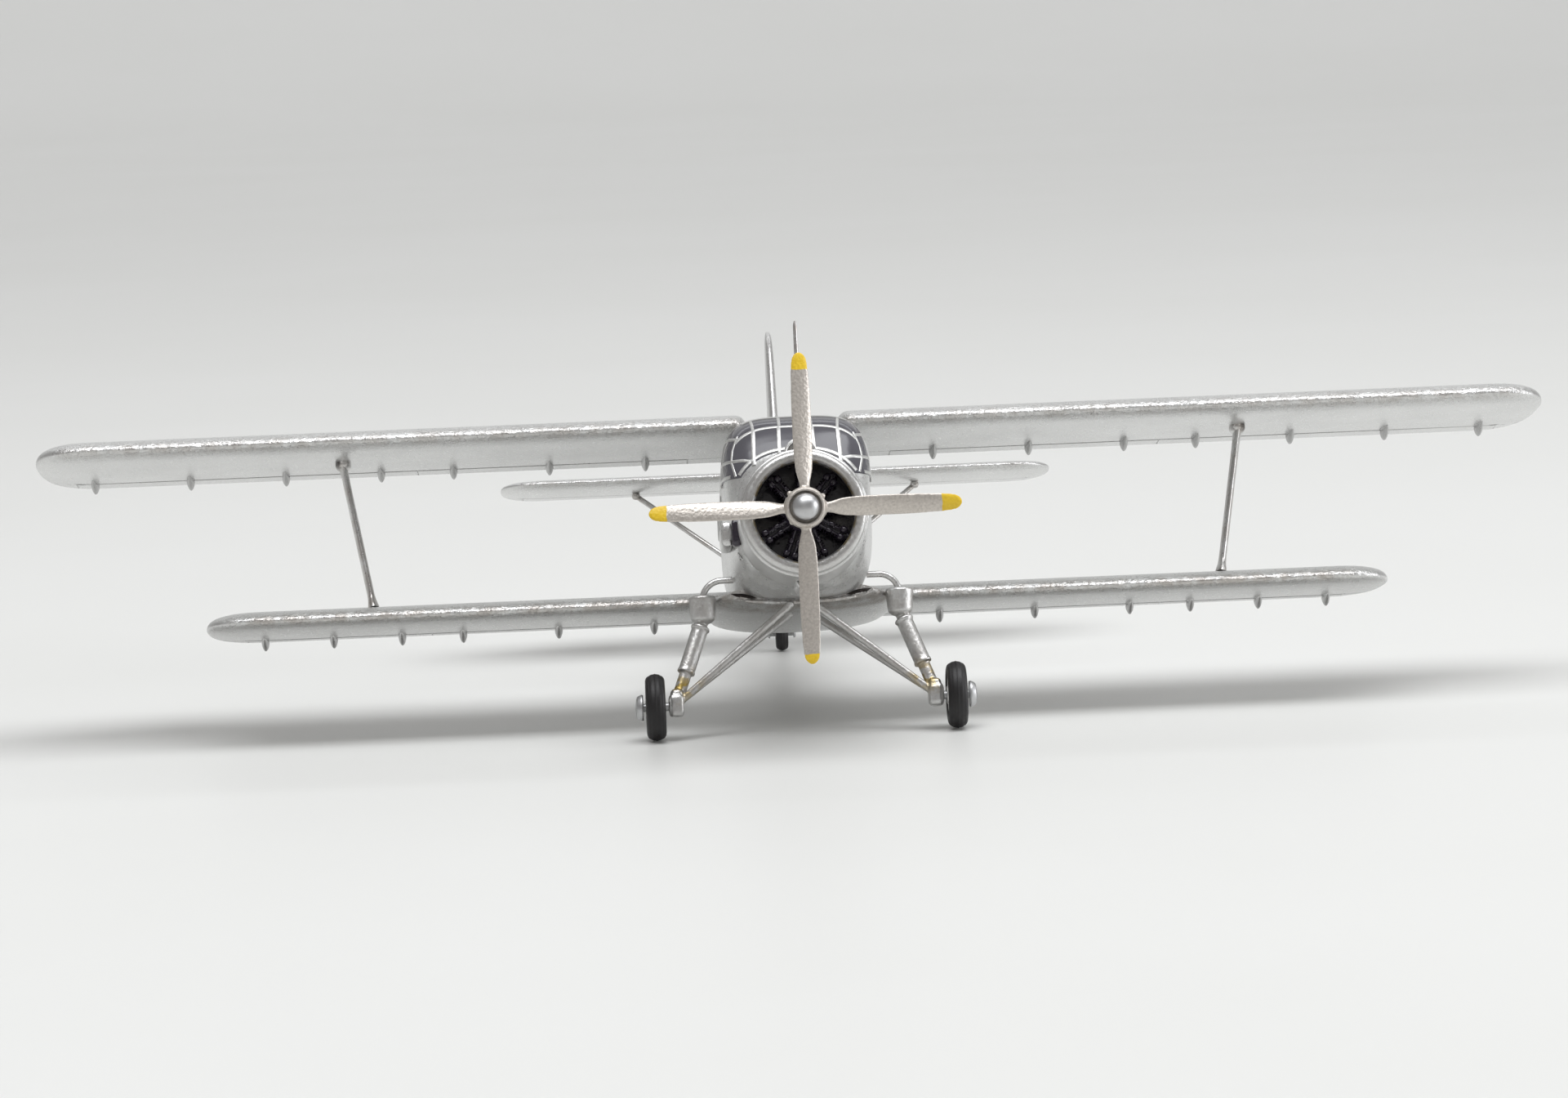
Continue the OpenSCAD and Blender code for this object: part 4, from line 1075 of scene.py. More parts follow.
one_cylinder = cylinder_shapes()
nose_profile = soften([[0.42, 0.32], [0.42, 0.55], [0.9, 0.66], [1.9, 0.78], [2.35, 1.15],
                       [FIREWALL_Y, 1.18]], 0.15)
# Painted shade: a black ring inside the cowling's barrel darkens the inside of the cowling.
INNER_R = BARREL_R - 0.03
barrel_shade_ring = [[4.55, INNER_R], [1.35 + COWL_Y, INNER_R], [1.3 + COWL_Y, BARREL_R - 0.1], [4.5, BARREL_R - 0.12]]
firewall = [[FIREWALL_Y - 0.6, 0.05], [FIREWALL_Y - 0.6, INNER_R], [FIREWALL_Y, INNER_R]]
engine_shapes = [
    turned(nose_profile, [0, 0, 0], [0, 1, 0]),
    turned(firewall, [0, 0, 0], [0, 1, 0]),
    turned(barrel_shade_ring, [0, 0, 0], [0, 1, 0], 96, "joined"),
]
for turn in 2 * math.pi * np.arange(CYLINDERS) / CYLINDERS:
    engine_shapes += [around(shape, turn) for shape in one_cylinder]
    bolt = turned(soften([[0, 0.09], [-0.12, 0.09], [-0.14, 0.02]], 0.03), [0, 2.12, 0.98], [0, 1, 0], 12)
    engine_shapes.append(around(bolt, turn + math.pi / CYLINDERS))
piece("engine_moulding", engine_shapes, BLACK, ["engine"])

# %% [markdown]
# Two ducts sit on the cowling: the carburettor scoop on top, with a round-topped mouth, and the oil cooler
# below.  Each mouth is a blind hole: the skin runs over a rounded lip and back in to a floor.


# %% Ducts
def duct(outer, inner, y_front, y_back, depth):
    """A blind duct along Y from two outlines of (x, z): outside from back to front, over the lip, and back in
    to a floor `depth` behind the mouth."""
    stops = [(outer, y_back), (outer, y_front + 0.08), (outer * 0.985 + inner * 0.015, y_front + 0.03),
             ((outer + inner) / 2, y_front), (inner, y_front + 0.08), (inner, y_front + depth)]
    rings = [np.stack([outline[:, 0], np.full(len(outline), y), outline[:, 1]], -1) for outline, y in stops]
    return skin(rings)


def arch(width, foot, top, n=40):
    """A doorway outline: two straight sides from foot height and a half circle on top."""
    turn = np.linspace(0, math.pi, n)
    curve = np.stack([width / 2 * np.cos(turn), top - width / 2 + width / 2 * np.sin(turn)], -1)
    foot_x = np.array([-1 / 2, -1 / 6, 1 / 6, 1 / 2]) * width
    return np.concatenate([curve, np.stack([foot_x, np.full(4, foot)], -1)])


DUCT_Y, DUCT_DEEP = 4.4, 1.2
scoop_top = COWL_R + 0.88
scoop = duct(arch(1.9, COWL_R - 0.25, scoop_top), arch(1.56, COWL_R + 0.04, scoop_top - 0.17),
             DUCT_Y, NOSE_Y, DUCT_DEEP)
piece("scoop_casting", [scoop], SILVER, ["carburettor_scoop"], marks=flat_marks(0.15, 0.1))

cooler_at = np.array([0, 0.1 - COWL_R])
cooler = duct(ellipse(0.62, 0.62, 48) + cooler_at, ellipse(0.47, 0.47, 48) + cooler_at,
              DUCT_Y, NOSE_Y - 0.1, DUCT_DEEP)
piece("cooler_duct", [cooler], SILVER, ["oil_cooler"], marks=flat_marks(0.15, 0.1))

# %% [markdown]
# The exhaust is a flat stub with rounded ends on the starboard side.  A teardrop is drawn near it on the
# body's skin, as a fine closed cord.

# %% Exhaust stub
exhaust_at = np.array([-(HALF_W + 0.02), -0.45])
exhaust_outline = ellipse(0.38, 0.74, 48, 2.8)
exhaust_y = np.array([8.0, 8.02, 8.12, 8.35, 11.3, 12.1, 12.4, 12.45])
exhaust_grow = np.array([0.3, 0.72, 0.92, 1.0, 1.0, 0.94, 0.75, 0.3])
exhaust = skin(np.stack([
    exhaust_at[0] + exhaust_grow[:, None] * exhaust_outline[:, 0],
    np.broadcast_to(exhaust_y[:, None], (len(exhaust_y), len(exhaust_outline))),
    exhaust_at[1] + exhaust_grow[:, None] * exhaust_outline[:, 1]], -1))


def tear_outline(y, angle, n=48, r=0.045):
    """A teardrop drawn on the body's skin as a fine closed cord: its width goes as sin(t) sin^2(t/2)."""
    t = np.linspace(0, 2 * math.pi, n, endpoint=False)
    path = body_points(y + 0.3 * np.sin(t) * np.sin(t / 2) ** 2, angle - 0.06 * np.cos(t)) - 0.01
    along = np.roll(path, -1, 0) - np.roll(path, 1, 0)
    along /= np.linalg.norm(along, axis=1)[:, None]
    out = np.cross(along, [[-0.8, -0.6, 0]])
    out /= np.linalg.norm(out, axis=1)[:, None]
    lift = np.cross(along, out)
    turn = np.linspace(0, 2 * math.pi, 10, endpoint=False)[None, :, None]
    return skin(path[:, None] + r * (np.cos(turn) * out[:, None] + np.sin(turn) * lift[:, None]), "joined")


piece("exhaust_stub", [exhaust, tear_outline(9.45, math.pi + 0.47)], SILVER, ["exhaust_pipe"],
      marks=flat_marks(0.2, 0.1))

# %% [markdown]
# A black block is let into the side of the cowling and fills the space between the cowling and the stub.
# It is painted shade for the dark gap there.

# %% Painted shade beside the exhaust
exhaust_gap_shade = box([-3.84, 8.15, -0.4], [0.56, 1.0, 1.6], 5)
piece("exhaust_gap_shade", [exhaust_gap_shade], BLACK)

# %% [markdown]
# ## Casting several shapes into one
#
# A leg or a propeller is cast whole, so its rods, bosses and blades run into each other with small
# fillets.  Here the overlapping shapes are filled with little cubes and skinned again, which is Blender's
# voxel remesh, and then relaxed a few times.  It works in millimetres, because Blender refuses cubes as
# small as these would be in metres.


# %% Voxel casting
def cast(shapes, voxel, relax=5):
    """One closed shape from overlapping ones: voxel remesh at `voxel` mm, then Laplacian relaxing."""
    mesh = bpy.data.meshes.new("pattern")
    points = np.concatenate([shape[0] for shape in shapes])
    starts = np.cumsum([0] + [len(shape[0]) for shape in shapes[:-1]])
    faces = [face for shape, at in zip(shapes, starts) for part in shape[1:] for face in (part + at).tolist()]
    mesh.from_pydata(points.tolist(), [], faces)
    pattern = bpy.data.objects.new("pattern", mesh)
    bpy.context.scene.collection.objects.link(pattern)
    remesh = pattern.modifiers.new("fill", "REMESH")
    remesh.mode = "VOXEL"
    remesh.voxel_size = voxel
    smooth = pattern.modifiers.new("relax", "SMOOTH")
    smooth.iterations = relax
    smooth.factor = 0.5
    done = pattern.evaluated_get(bpy.context.evaluated_depsgraph_get()).to_mesh()
    out = np.zeros(len(done.vertices) * 3)
    done.vertices.foreach_get("co", out)
    corners = np.zeros(len(done.loops), int)
    done.loops.foreach_get("vertex_index", corners)
    quads = corners.reshape(-1, 4)
    bpy.data.objects.remove(pattern)
    bpy.data.meshes.remove(mesh)
    return outward(out.reshape(-1, 3), quads, np.zeros((0, 3), int))


# %% [markdown]
# ## Propeller
#
# Four blades on one hub, cast in a sandy mould and dipped in yellow at the tips by hand.  A blade is a
# section that is flat behind and domed in front, and it leans less towards its tip, as a screw of constant
# pitch must.  The yellow is a colour in the finish: the mark `dip` gives each point its distance to the
# tip, and noise makes the edge of the paint uneven.

# %% Sand-cast metal with dipped tips
AIRSCREW, airscrew_shader = new_finish("sand_cast_metal")
cast_at = node(AIRSCREW, "TexCoord", {}).outputs["Object"]
sand = node(AIRSCREW, "TexNoise", {"Vector": cast_at, "Scale": per_mm(0.13), "Detail": 2}).outputs["Fac"]
pits = node(AIRSCREW, "TexVoronoi", {"Vector": cast_at, "Scale": per_mm(0.2)}).outputs["Distance"]
metal_tint = node(AIRSCREW, "Mix", {0: sand, 6: linear("#A9A39C"), 7: linear("#DFD8D0")},
                  data_type="RGBA").outputs[2]
dip = node(AIRSCREW, "Attribute", {}, attribute_name="dip").outputs["Fac"]
ragged = node(AIRSCREW, "TexNoise", {"Vector": cast_at, "Scale": per_mm(0.6), "Detail": 2}).outputs["Fac"]
edge = node(AIRSCREW, "Math", {0: ragged, 1: 0.25, 2: dip}, operation="MULTIPLY_ADD").outputs[0]
yellow = node(AIRSCREW, "MapRange", {"Value": edge, "From Min": 1.1, "From Max": 1.14,
                                     "To Min": 1, "To Max": 0}).outputs[0]
yellow_tint = node(AIRSCREW, "Mix", {0: sand, 6: linear("#D6AE12"), 7: linear("#EBCB3A")},
                   data_type="RGBA").outputs[2]
airscrew_tint = node(AIRSCREW, "Mix", {0: yellow, 6: metal_tint, 7: yellow_tint},
                     data_type="RGBA").outputs[2]
metal_share = node(AIRSCREW, "MapRange", {"Value": yellow, "To Min": 0.7, "To Max": 0.0}).outputs[0]
grit = node(AIRSCREW, "Math", {0: pits, 1: sand}, operation="ADD").outputs[0]
airscrew_bump = node(AIRSCREW, "Bump", {"Height": grit, "Strength": 0.7, "Distance": 0.000025}).outputs[0]
feed(AIRSCREW, airscrew_shader, {"Base Color": airscrew_tint, "Metallic": metal_share, "Roughness": 0.42,
                                 "Normal": airscrew_bump})

# %% Airscrew
PROP_R = level_box("propeller")[1][2]
BLADE_W = 1.15
# share of the radius, share of the width, thickness
BLADE = np.array([
    [0.04, 0.5, 0.5], [0.15, 0.5, 0.44], [0.19, 0.66, 0.38], [0.25, 0.86, 0.32], [0.35, 0.96, 0.3],
    [0.5, 1, 0.28], [0.65, 0.99, 0.26], [0.8, 0.93, 0.24], [0.9, 0.86, 0.22], [0.955, 0.74, 0.2],
    [0.985, 0.52, 0.16], [1, 0.2, 0.1],
])


def blade_shape(n=30):
    """Blade pointing up: at each share s of the radius an oval section, domed in front and flatter behind,
    leans by 28 - 16s degrees with its starboard edge forward."""
    tip = 0.9 + 0.1 * np.sin(np.linspace(0.1, math.pi / 2, 16))
    share = np.concatenate([np.linspace(0.04, 0.9, 40), tip])
    lean = np.radians(28 - 16 * share)[:, None]
    width = (between(share, BLADE[:, 0], BLADE[:, 1]) * BLADE_W / 2)[:, None] / np.cos(lean)
    thick = (between(share, BLADE[:, 0], BLADE[:, 2]) / 2)[:, None]
    turn = np.linspace(0, 2 * math.pi, n, endpoint=False)
    u = np.cos(turn) * width
    v = np.where(np.sin(turn) < 0, 1.15, 0.7) * np.sin(turn) * thick
    rings = np.stack([
        u * np.cos(lean) - v * np.sin(lean), u * np.sin(lean) + v * np.cos(lean),
        np.broadcast_to(share[:, None] * PROP_R, u.shape)], -1)
    return skin(rings)


hub_profile = soften([[-0.3, 0.37], [-0.3, 0.9], [-0.56, 0.95], [-0.6, 1.06], [-0.35, 1.2], [0.25, 1.2],
                      [0.35, 1.05], [0.35, 0.37]], 0.06)
one_blade = blade_shape()
flash = np.random.default_rng(7)
hub_lumps = [around(rod([0, -0.1, 0.95], [0, -0.06, reach], 0.17, 12, 1.0), turn)
             for turn, reach in zip(flash.uniform(0, 2 * math.pi, 22), flash.uniform(1.14, 1.4, 22))]
airscrew = cast([turned(hub_profile, [0, 0, 0], [0, 1, 0], 64, "joined"), *hub_lumps,
                 *[around(one_blade, k * math.pi / 2) for k in range(4)]], 0.045, 3)


def dip_marks(level):
    """Distance of each point from the tip circle.  The lowest blade was dipped less and the port one more."""
    short = np.clip(-level[:, 2] - 5, 0, 0.45) - 0.15 * (level[:, 0] > 5)
    return {"dip": PROP_R - np.hypot(level[:, 0], level[:, 2]) + short}


piece("airscrew", [airscrew], AIRSCREW, ["propeller"], "propeller", crease=70, marks=dip_marks)

# %% [markdown]
# ## Plated pins
#
# The propeller and the wheels turn on rivets of plated steel.  One noise moves their tint, their gloss and
# a low relief together, so a highlight on them is soft and a little broken.

# %% Plated steel
PLATED, plated_shader = new_finish("plated_steel")
plated_at = node(PLATED, "TexCoord", {}).outputs["Object"]
scuff = node(PLATED, "TexNoise", {"Vector": plated_at, "Scale": per_mm(0.5), "Detail": 4}).outputs["Fac"]
plated_tint = node(PLATED, "Mix", {0: scuff, 6: linear("#A6A7A9"), 7: linear("#D2D2D2")},
                   data_type="RGBA").outputs[2]
plated_dull = node(PLATED, "MapRange", {"Value": scuff, "To Min": 0.34, "To Max": 0.5}).outputs[0]
plated_bump = node(PLATED, "Bump", {"Height": scuff, "Strength": 0.35, "Distance": 0.00002}).outputs[0]
feed(PLATED, plated_shader, {"Base Color": plated_tint, "Metallic": 1.0, "Roughness": plated_dull,
                             "Normal": plated_bump})

# %% Propeller pin
PIN_FACE = 0.45
dome_turn = np.linspace(0.06, math.pi / 2, 14)
dome = np.stack([-PIN_FACE - 0.75 * np.cos(dome_turn) ** 0.9, 0.8 * np.sin(dome_turn)], -1)
pin_back = soften([[-PIN_FACE, 0.8], [-PIN_FACE + 0.06, 0.72], [-PIN_FACE + 0.06, 0.3], [5, 0.3]], 0.03)
piece("spinner_pin", [turned(np.concatenate([dome, pin_back]), [0, 0, 0], [0, 1, 0])], PLATED,
      ["propeller_pin"])

# %% [markdown]
# ## Tail
#
# The tailplane is two thin panels with rounded ends.  A long groove marks the elevators.  A slanting brace
# holds each panel, as it does on the real aircraft.

# %% Tailplanes and braces
TAILPLANE = {"chord": 9.0, "y": 49.8, "z": 7.9, "angle": 0.0}
TAIL_TIP, TAIL_THICK, ELEVATOR_SHARE = 3.0, 0.085, 0.6
TAIL_HALF = level_box("tailplane_left")[1][0]
tail_panel = wing_half(TAILPLANE, 0.3, TAIL_HALF, TAIL_TIP, TAIL_THICK, 0, ELEVATOR_SHARE,
                       [1.6, TAIL_HALF - TAIL_TIP + 1.6])
BRACE_X, BRACE_Y, BRACE_LOW = 9.15, 54.0, (50.5, 1.35)
brace_top = [BRACE_X, BRACE_Y, TAILPLANE["z"] - TAILPLANE["chord"] * TAIL_THICK / 2 - 0.2]
brace_foot = [HALF_W - 2.6, *BRACE_LOW]
brace = [rod(brace_foot, brace_top, 0.17, dome=0.2, across=(0, 1, 0)),
         box(brace_top, [0.55, 0.8, 0.5], 2.4), box([HALF_W - 2.75, *BRACE_LOW], [0.6, 0.6, 0.5], 2.4)]
for side, flip in SIDES:
    piece(f"tail_panel_{side}", [flip(tail_panel)], SILVER, [f"tailplane_{side}"],
          marks=leading_marks(TAILPLANE, 0.25, ELEVATOR_SHARE))
    piece(f"tail_stay_{side}", [flip(shape) for shape in brace], SILVER, [f"tail_brace_{side}"],
          marks=flat_marks(0.12, 0.5))

# %% [markdown]
# ## Struts and mast
#
# One flat strut joins the wings on each side.  It ends in a foot that was glued into its seat, and the paint
# at both ends is brown and a little ragged.  Painted shade darkens its outer corner at the top, where it
# meets the wing.

# %% Interplane struts and mast
STRUT_TOP, STRUT_LOW = (27.15, 19.6), (25.5, 18.6)
strut_high = np.array([*STRUT_TOP, 6.35])
strut_foot = np.array([*STRUT_LOW, -2.95])


def strut_shape():
    """A flat oval carried between the wings, swelling into a foot at each end."""
    share = np.linspace(0, 1, 60)
    swell = 1 + 0.55 * np.exp(-((share / 0.05) ** 2)) + 0.35 * np.exp(-(((1 - share) / 0.07) ** 2))
    path = strut_foot + (strut_high - strut_foot) * share[:, None]
    return swept(path, ellipse(0.225, 0.75, 36), swell)


plate = box([STRUT_TOP[0] - 0.1, STRUT_TOP[1], 5.98], [0.92, 1.9, 0.72], 3)


def strut_marks(level):
    """Brown at both ends, where gluing took the shine off, and painted shade in the outer corner at the top,
    where the strut meets the wing.
    """
    height = (level[:, 2] + 2.95) / 9.3
    ends = np.clip(1 - height / 0.1, 0, 1) + np.clip((height - 0.9) / 0.1, 0, 1)
    # Painted shade in the outer corner at the top, where the strut meets the wing.
    top_corner = np.clip((height - 0.9) / 0.05, 0, 1) * (np.abs(level[:, 0]) > STRUT_TOP[0] + 0.1)
    return {"wrinkle": 0.12 + 0.5 * ends, "tarnish": 0.45 + 0.5 * ends, "dirt": 0.75 * top_corner}


for side, flip in SIDES:
    piece(f"wing_strut_{side}", [flip(strut_shape()), flip(plate)], SILVER, [f"interplane_strut_{side}"],
          marks=strut_marks)

MAST_TOP = level_box("antenna_mast")[1][2]
MAST_FOOT, MAST_X, MAST_Y = 6.6, 0.6, 20.5
mast_height = np.linspace(MAST_FOOT, MAST_TOP, 30)
mast_path = np.stack([np.full(30, MAST_X), np.full(30, MAST_Y), mast_height], -1)
mast_taper = 0.17 - 0.05 * (mast_height - MAST_FOOT) / (MAST_TOP - MAST_FOOT)
mast_scale = np.where(mast_height < MAST_TOP - 0.05, mast_taper, 0.05)
boss_profile = soften([[7.2, 0.42], [7.4, 0.36], [7.5, 0.16], [7.6, 0.12]], 0.06)
mast_boss = turned(boss_profile, [MAST_X, MAST_Y, 0], [0, 0, 1], 32)
piece("mast_rod", [swept(mast_path, ellipse(1, 1, 20), mast_scale), mast_boss], SILVER, ["antenna_mast"],
      marks=flat_marks(0.1, 0.6))

# %% [markdown]
# ## Undercarriage
#
# Each leg is one casting: a knuckle under the wing, a thick oil cylinder with a thinner piston, a foot that
# carries the axle and two long rods that run in to the belly.

# %% Leg castings
WHEEL = (np.array(joints["wheel_left_spin"]["pos_m"]) - HUB) @ LEVEL_TO_ROW * 1000
WHEEL_R = (level_box("tyre_left")[1][1] - level_box("tyre_left")[0][1]) / 2
TYRE_W = 1.3
TREAD_W = 1.16
FOOT_W = 1.0
SIDE_GAP = 0.08
AXLE_Y, AXLE_Z = WHEEL[1], WHEEL[2]
FOOT_X = WHEEL[0] - TYRE_W / 2 - SIDE_GAP - FOOT_W / 2
KNUCKLE = np.array([HALF_W + 1.5, 14.6])
KNUCKLE_TOP, KNUCKLE_LOW = -3.35, -5.0


def leg_shape():
    """Knuckle, oil cylinder, piston, foot and two belly rods, cast into one."""
    hip = np.array([*KNUCKLE, KNUCKLE_LOW + 0.2])
    foot = np.array([FOOT_X, AXLE_Y, AXLE_Z + 0.25])
    step = hip + (foot - hip) * 0.66
    knuckle = soften([[KNUCKLE_LOW - 0.05, 0.1], [KNUCKLE_LOW - 0.05, 0.45], [KNUCKLE_LOW + 0.2, 0.74],
                      [KNUCKLE_TOP - 0.1, 0.84], [KNUCKLE_TOP, 0.6], [KNUCKLE_TOP, 0.1]], 0.12)
    along = (foot - hip) / np.linalg.norm(foot - hip)
    shapes = [
        turned(knuckle, [*KNUCKLE, 0], [0, 0, 1], 48),
        rod(hip + along * 0.5, step, 0.5, 40, 0.15, (0, 1, 0)),
        rod(hip + along * 0.42, hip + along * 0.75, 0.58, 40, 0.2, (0, 1, 0)),
        rod(step - along * 0.3, step, 0.54, 40, 0.15, (0, 1, 0)),
        rod(hip, foot, 0.37, 32, 0.3, (0, 1, 0)),
        box([FOOT_X, AXLE_Y, AXLE_Z + 0.05], [0.94, 1.28, 1.37], 4.5),
        box([FOOT_X - 0.05, AXLE_Y, AXLE_Z + 0.6], [0.8, 0.95, 0.9], 3),
    ]
    for y, low in ((13, BELLY - 0.42), (16.2, BELLY - 0.72)):
        shapes.append(rod(foot + [-0.2, (y - 13) * 0.06 - 0.15, 0], [0.75, y, low], 0.22, 20, 0.5, (0, 1, 0)))
        shapes.append(box([0.72, y, low + 0.05], [0.5, 0.5, 0.42], 2.3))
    return cast(shapes, 0.05, 4)


def leg_marks(level):
    """Wrinkles everywhere, brown in the joints, and brass at the foot and the inner side of the piston."""
    near_foot = np.clip(1 - np.abs(level[:, 2] - AXLE_Z - 1.2) / 1.3, 0, 1)
    outer = np.clip((np.abs(level[:, 0]) - FOOT_X + 1.9) / 1.2, 0, 1)
    return {"wrinkle": 0.42, "tarnish": 0.2 + 0.2 * near_foot, "brass": near_foot * outer}


leg = leg_shape()
pipe_turn = np.linspace(0, math.pi / 2, 24)[:, None]
PIPE_BEND = 1.2
pipe_z = KNUCKLE_TOP + 0.85
bend_x = KNUCKLE[0] - PIPE_BEND
pipe_path = np.concatenate([
    [[HALF_W - 0.4, KNUCKLE[1], pipe_z], [HALF_W - 0.1, KNUCKLE[1], pipe_z]],
    [bend_x, KNUCKLE[1], pipe_z - PIPE_BEND] + PIPE_BEND * np.concatenate(
        [np.sin(pipe_turn), 0 * pipe_turn, np.cos(pipe_turn)], 1),
])
pipe = swept(pipe_path, ellipse(0.19, 0.19, 24), 1.0, (0, 1, 0))
for side, flip in SIDES:
    piece(f"gear_leg_{side}", [flip(leg)], WORN, [f"main_gear_{side}"], crease=75, marks=leg_marks)
    piece(f"gear_pipe_{side}", [flip(pipe)], SILVER, [f"gear_brace_{side}"], marks=flat_marks(0.2, 0.25))

# %% [markdown]
# ## Wheels
#
# The tyres are soft black rubber with the line of the mould round the tread.  They sit on small silver hubs,
# and both turn on a mushroom-headed pin.

# %% Rubber
RUBBER, rubber_shader = new_finish("black_rubber")
rubber_at = node(RUBBER, "TexCoord", {}).outputs["Object"]
bloom = node(RUBBER, "TexNoise", {"Vector": rubber_at, "Scale": per_mm(0.5), "Detail": 4}).outputs["Fac"]
rubber_tint = node(RUBBER, "Mix", {0: bloom, 6: linear("#080607"), 7: linear("#120E10")},
                   data_type="RGBA").outputs[2]
pores = node(RUBBER, "TexNoise", {"Vector": rubber_at, "Scale": per_mm(0.12), "Detail": 2}).outputs["Fac"]
rubber_bump = node(RUBBER, "Bump", {"Height": pores, "Strength": 0.5, "Distance": 0.00002}).outputs[0]
rubber_dull = node(RUBBER, "MapRange", {"Value": bloom, "To Min": 0.42, "To Max": 0.62}).outputs[0]
feed(RUBBER, rubber_shader, {"Base Color": rubber_tint, "Roughness": rubber_dull, "IOR": 1.52,
                             "Normal": rubber_bump})


# %% Tyres, hubs and pins
def tyre_shape(centre, radius, width, rim):
    """Closed profile spun about the axle: a squared oval between rim and tread, with a fine seam."""
    outline = ellipse(width / 2, (radius - rim) / 2, 64, 2.2)
    across, out = outline[:, 0], (radius + rim) / 2 + outline[:, 1]
    seam = 0.03 * np.exp(-((across / 0.035) ** 2)) * (out > (radius + rim) / 2)
    groove = 0.025 * np.exp(-(((np.abs(across) - width * 0.3) / 0.05) ** 2)) * (out > (radius + rim) / 2)
    return turned(np.stack([across, out + seam - 0.03 - groove], -1), centre, [1, 0, 0], 120, "joined")


def hub_shape(centre, rim, width, bore):
    """A dished wheel centre: boss, web and rim on both faces, spun as one closed profile."""
    face = [[-0.5, bore], [-0.5, 0.46], [-0.36, 0.52], [-0.34, 0.74], [-0.42, 0.84], [-0.41, 1.0]]
    half = soften(np.array(face) * [width, rim] + [0, 0], 0.04, 4)
    half[:, 1] = np.maximum(half[:, 1], bore)
    return turned(np.concatenate([half, half[::-1] * [-1, 1]]), centre, [1, 0, 0], 96, "joined")


def head_profile(start, head, radius, thick, shank):
    """A rivet: shank from start to the head, then a shallow mushroom."""
    cap = soften([[head, radius - 0.06], [head + 0.1, radius], [head + thick * 0.8, radius * 0.8],
                  [head + thick, 0.04]], 0.1)
    return np.concatenate([[[start, shank], [head - 0.02, shank], [head, shank + 0.02]], cap])


rim = WHEEL_R * 0.55
pin_start = FOOT_X - FOOT_W / 2 + 0.15 - WHEEL[0]
pin = turned(head_profile(pin_start, TYRE_W / 2 + SIDE_GAP, 0.8, 0.5, 0.25), WHEEL, [1, 0, 0], 64)
wheel_shapes = {
    "tyre_ring": (tyre_shape(WHEEL, WHEEL_R, TREAD_W, rim), RUBBER, "tyre", None),
    "hub_disc": (hub_shape(WHEEL, rim, TYRE_W * 0.92, 0.3), SILVER, "wheel_hub", flat_marks(0.12, 0.1)),
    "axle_rivet": (pin, PLATED, "axle_pin", None),
}
for side, flip in SIDES:
    for name, (shape, finish, stem, marks) in wheel_shapes.items():
        body = "airframe" if stem == "axle_pin" else f"wheel_{side}"
        piece(f"{name}_{side}", [flip(shape)], finish, [f"{stem}_{side}"], body, marks=marks)

# %% [markdown]
# ## Tail wheel
#
# The small wheel trails in a fork.  The fork's cheeks are flat bars that meet at a crown, and a round leg
# runs from the crown into the stern.

# %% Tail fork, wheel and pin
TAIL_WHEEL = (np.array(joints["tail_wheel_spin"]["pos_m"]) - HUB) @ LEVEL_TO_ROW * 1000
TAIL_R = (level_box("tail_tyre")[1][1] - level_box("tail_tyre")[0][1]) / 2
TAIL_W, FORK_GAP, FORK_T = 0.8, 0.12, 0.24
fork_x = TAIL_W / 2 + FORK_GAP
crown = TAIL_WHEEL + [0, -0.85, TAIL_R + 0.45]
cheek_x = fork_x + FORK_T / 2
tail_reach = fork_x + FORK_T
cheeks = [rod(TAIL_WHEEL + [side * cheek_x, 0.05, -0.06], crown + [side * cheek_x, 0, 0.05],
              FORK_T / 2, 28, 1.2, (1, 0, 0), 2.7) for side in (-1, 1)]
crown_bar = rod(crown - [tail_reach, 0, 0], crown + [tail_reach, 0, 0], 0.32, 28, 0.3, (0, 1, 0))
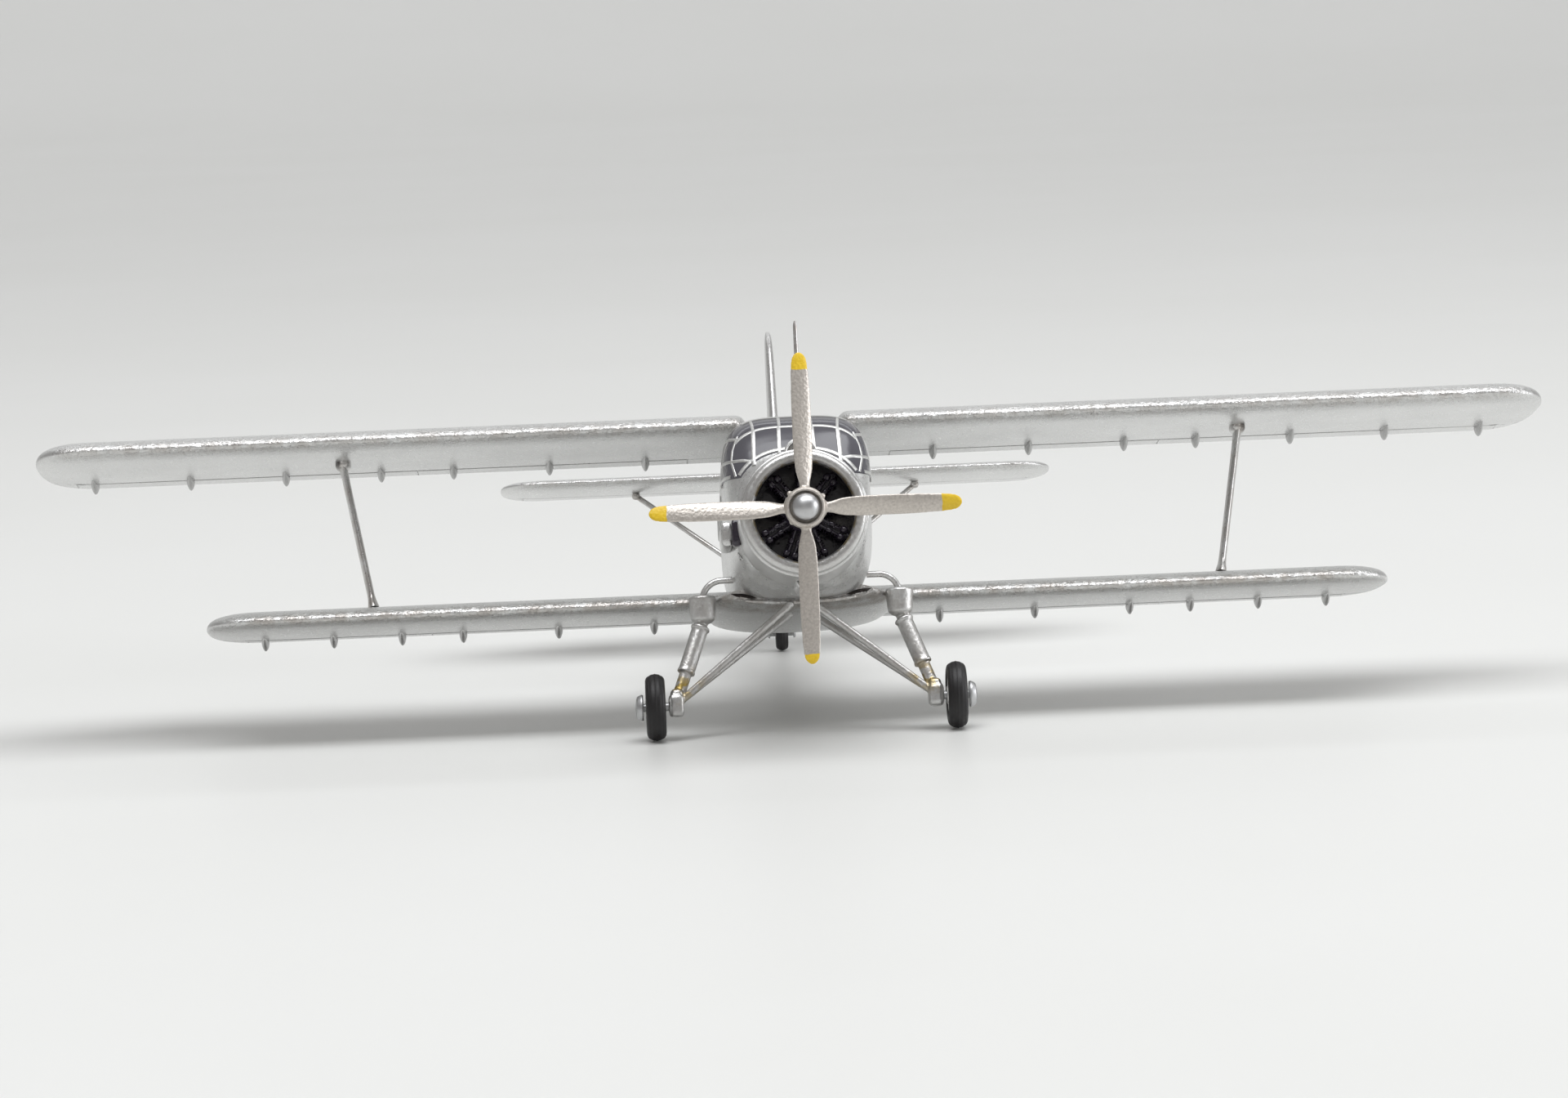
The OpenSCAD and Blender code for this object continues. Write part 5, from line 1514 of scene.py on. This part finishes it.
fork = cast([*cheeks, crown_bar, rod(crown, crown + [0, -1.6, 2.4], 0.42, 36, 0.4)], 0.04, 3)
piece("fork_casting", [fork], WORN, ["tail_fork"], crease=75, marks=flat_marks(0.2, 0.3))
tail_rim = TAIL_R * 0.5
piece("tail_tyre_ring", [tyre_shape(TAIL_WHEEL, TAIL_R, TAIL_W, tail_rim)], RUBBER, ["tail_tyre"],
      "tail_wheel")
piece("tail_hub_disc", [hub_shape(TAIL_WHEEL, tail_rim, TAIL_W * 0.95, 0.25)], SILVER, ["tail_hub"],
      "tail_wheel")
tail_head = [[0, 0.2], [tail_reach, 0.2], [tail_reach + 0.01, 0.34], [tail_reach + 0.14, 0.3],
             [tail_reach + 0.17, 0.04]]
tail_half = soften(tail_head, 0.03, 4)
tail_profile = np.concatenate([tail_half[::-1] * [-1, 1], tail_half])
piece("tail_rivet", [turned(tail_profile, TAIL_WHEEL, [1, 0, 0], 48)], PLATED, ["tail_axle_pin"])

# %% [markdown]
# ## Portholes
#
# Four round windows pierce each side of the cabin.  A slightly domed pane sits in a raised ring.

# %% Portholes
PORT_R = 0.75
port_pane = soften([[-0.25, 0.05], [-0.25, PORT_R], [0.02, PORT_R], [0.07, PORT_R * 0.6], [0.08, 0.03]], 0.08)
port_ring = ellipse(0.06, 0.1, 20) + [0.02, PORT_R]
for side, flip in SIDES:
    low, high = level_box("porthole_left")
    steps = np.linspace(low[1] + PORT_R, high[1] - PORT_R, 4)
    at = [np.array([HALF_W - 0.02, y, (low[2] + high[2]) / 2]) for y in steps]
    panes = [flip(turned(port_pane, spot, [1, 0, 0], 48)) for spot in at]
    rims = [flip(turned(port_ring, spot, [1, 0, 0], 48, "joined")) for spot in at]
    piece(f"port_panes_{side}", panes, GLASS, [f"porthole_{side}"])
    piece(f"port_rims_{side}", rims, INK)

# %% [markdown]
# ## Finish
#
# The box of what shows now is printed, in millimetres.

# %% Sizes
low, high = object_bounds()
print("visual box", [round(v * 1000, 2) for v in (*low, *high)])
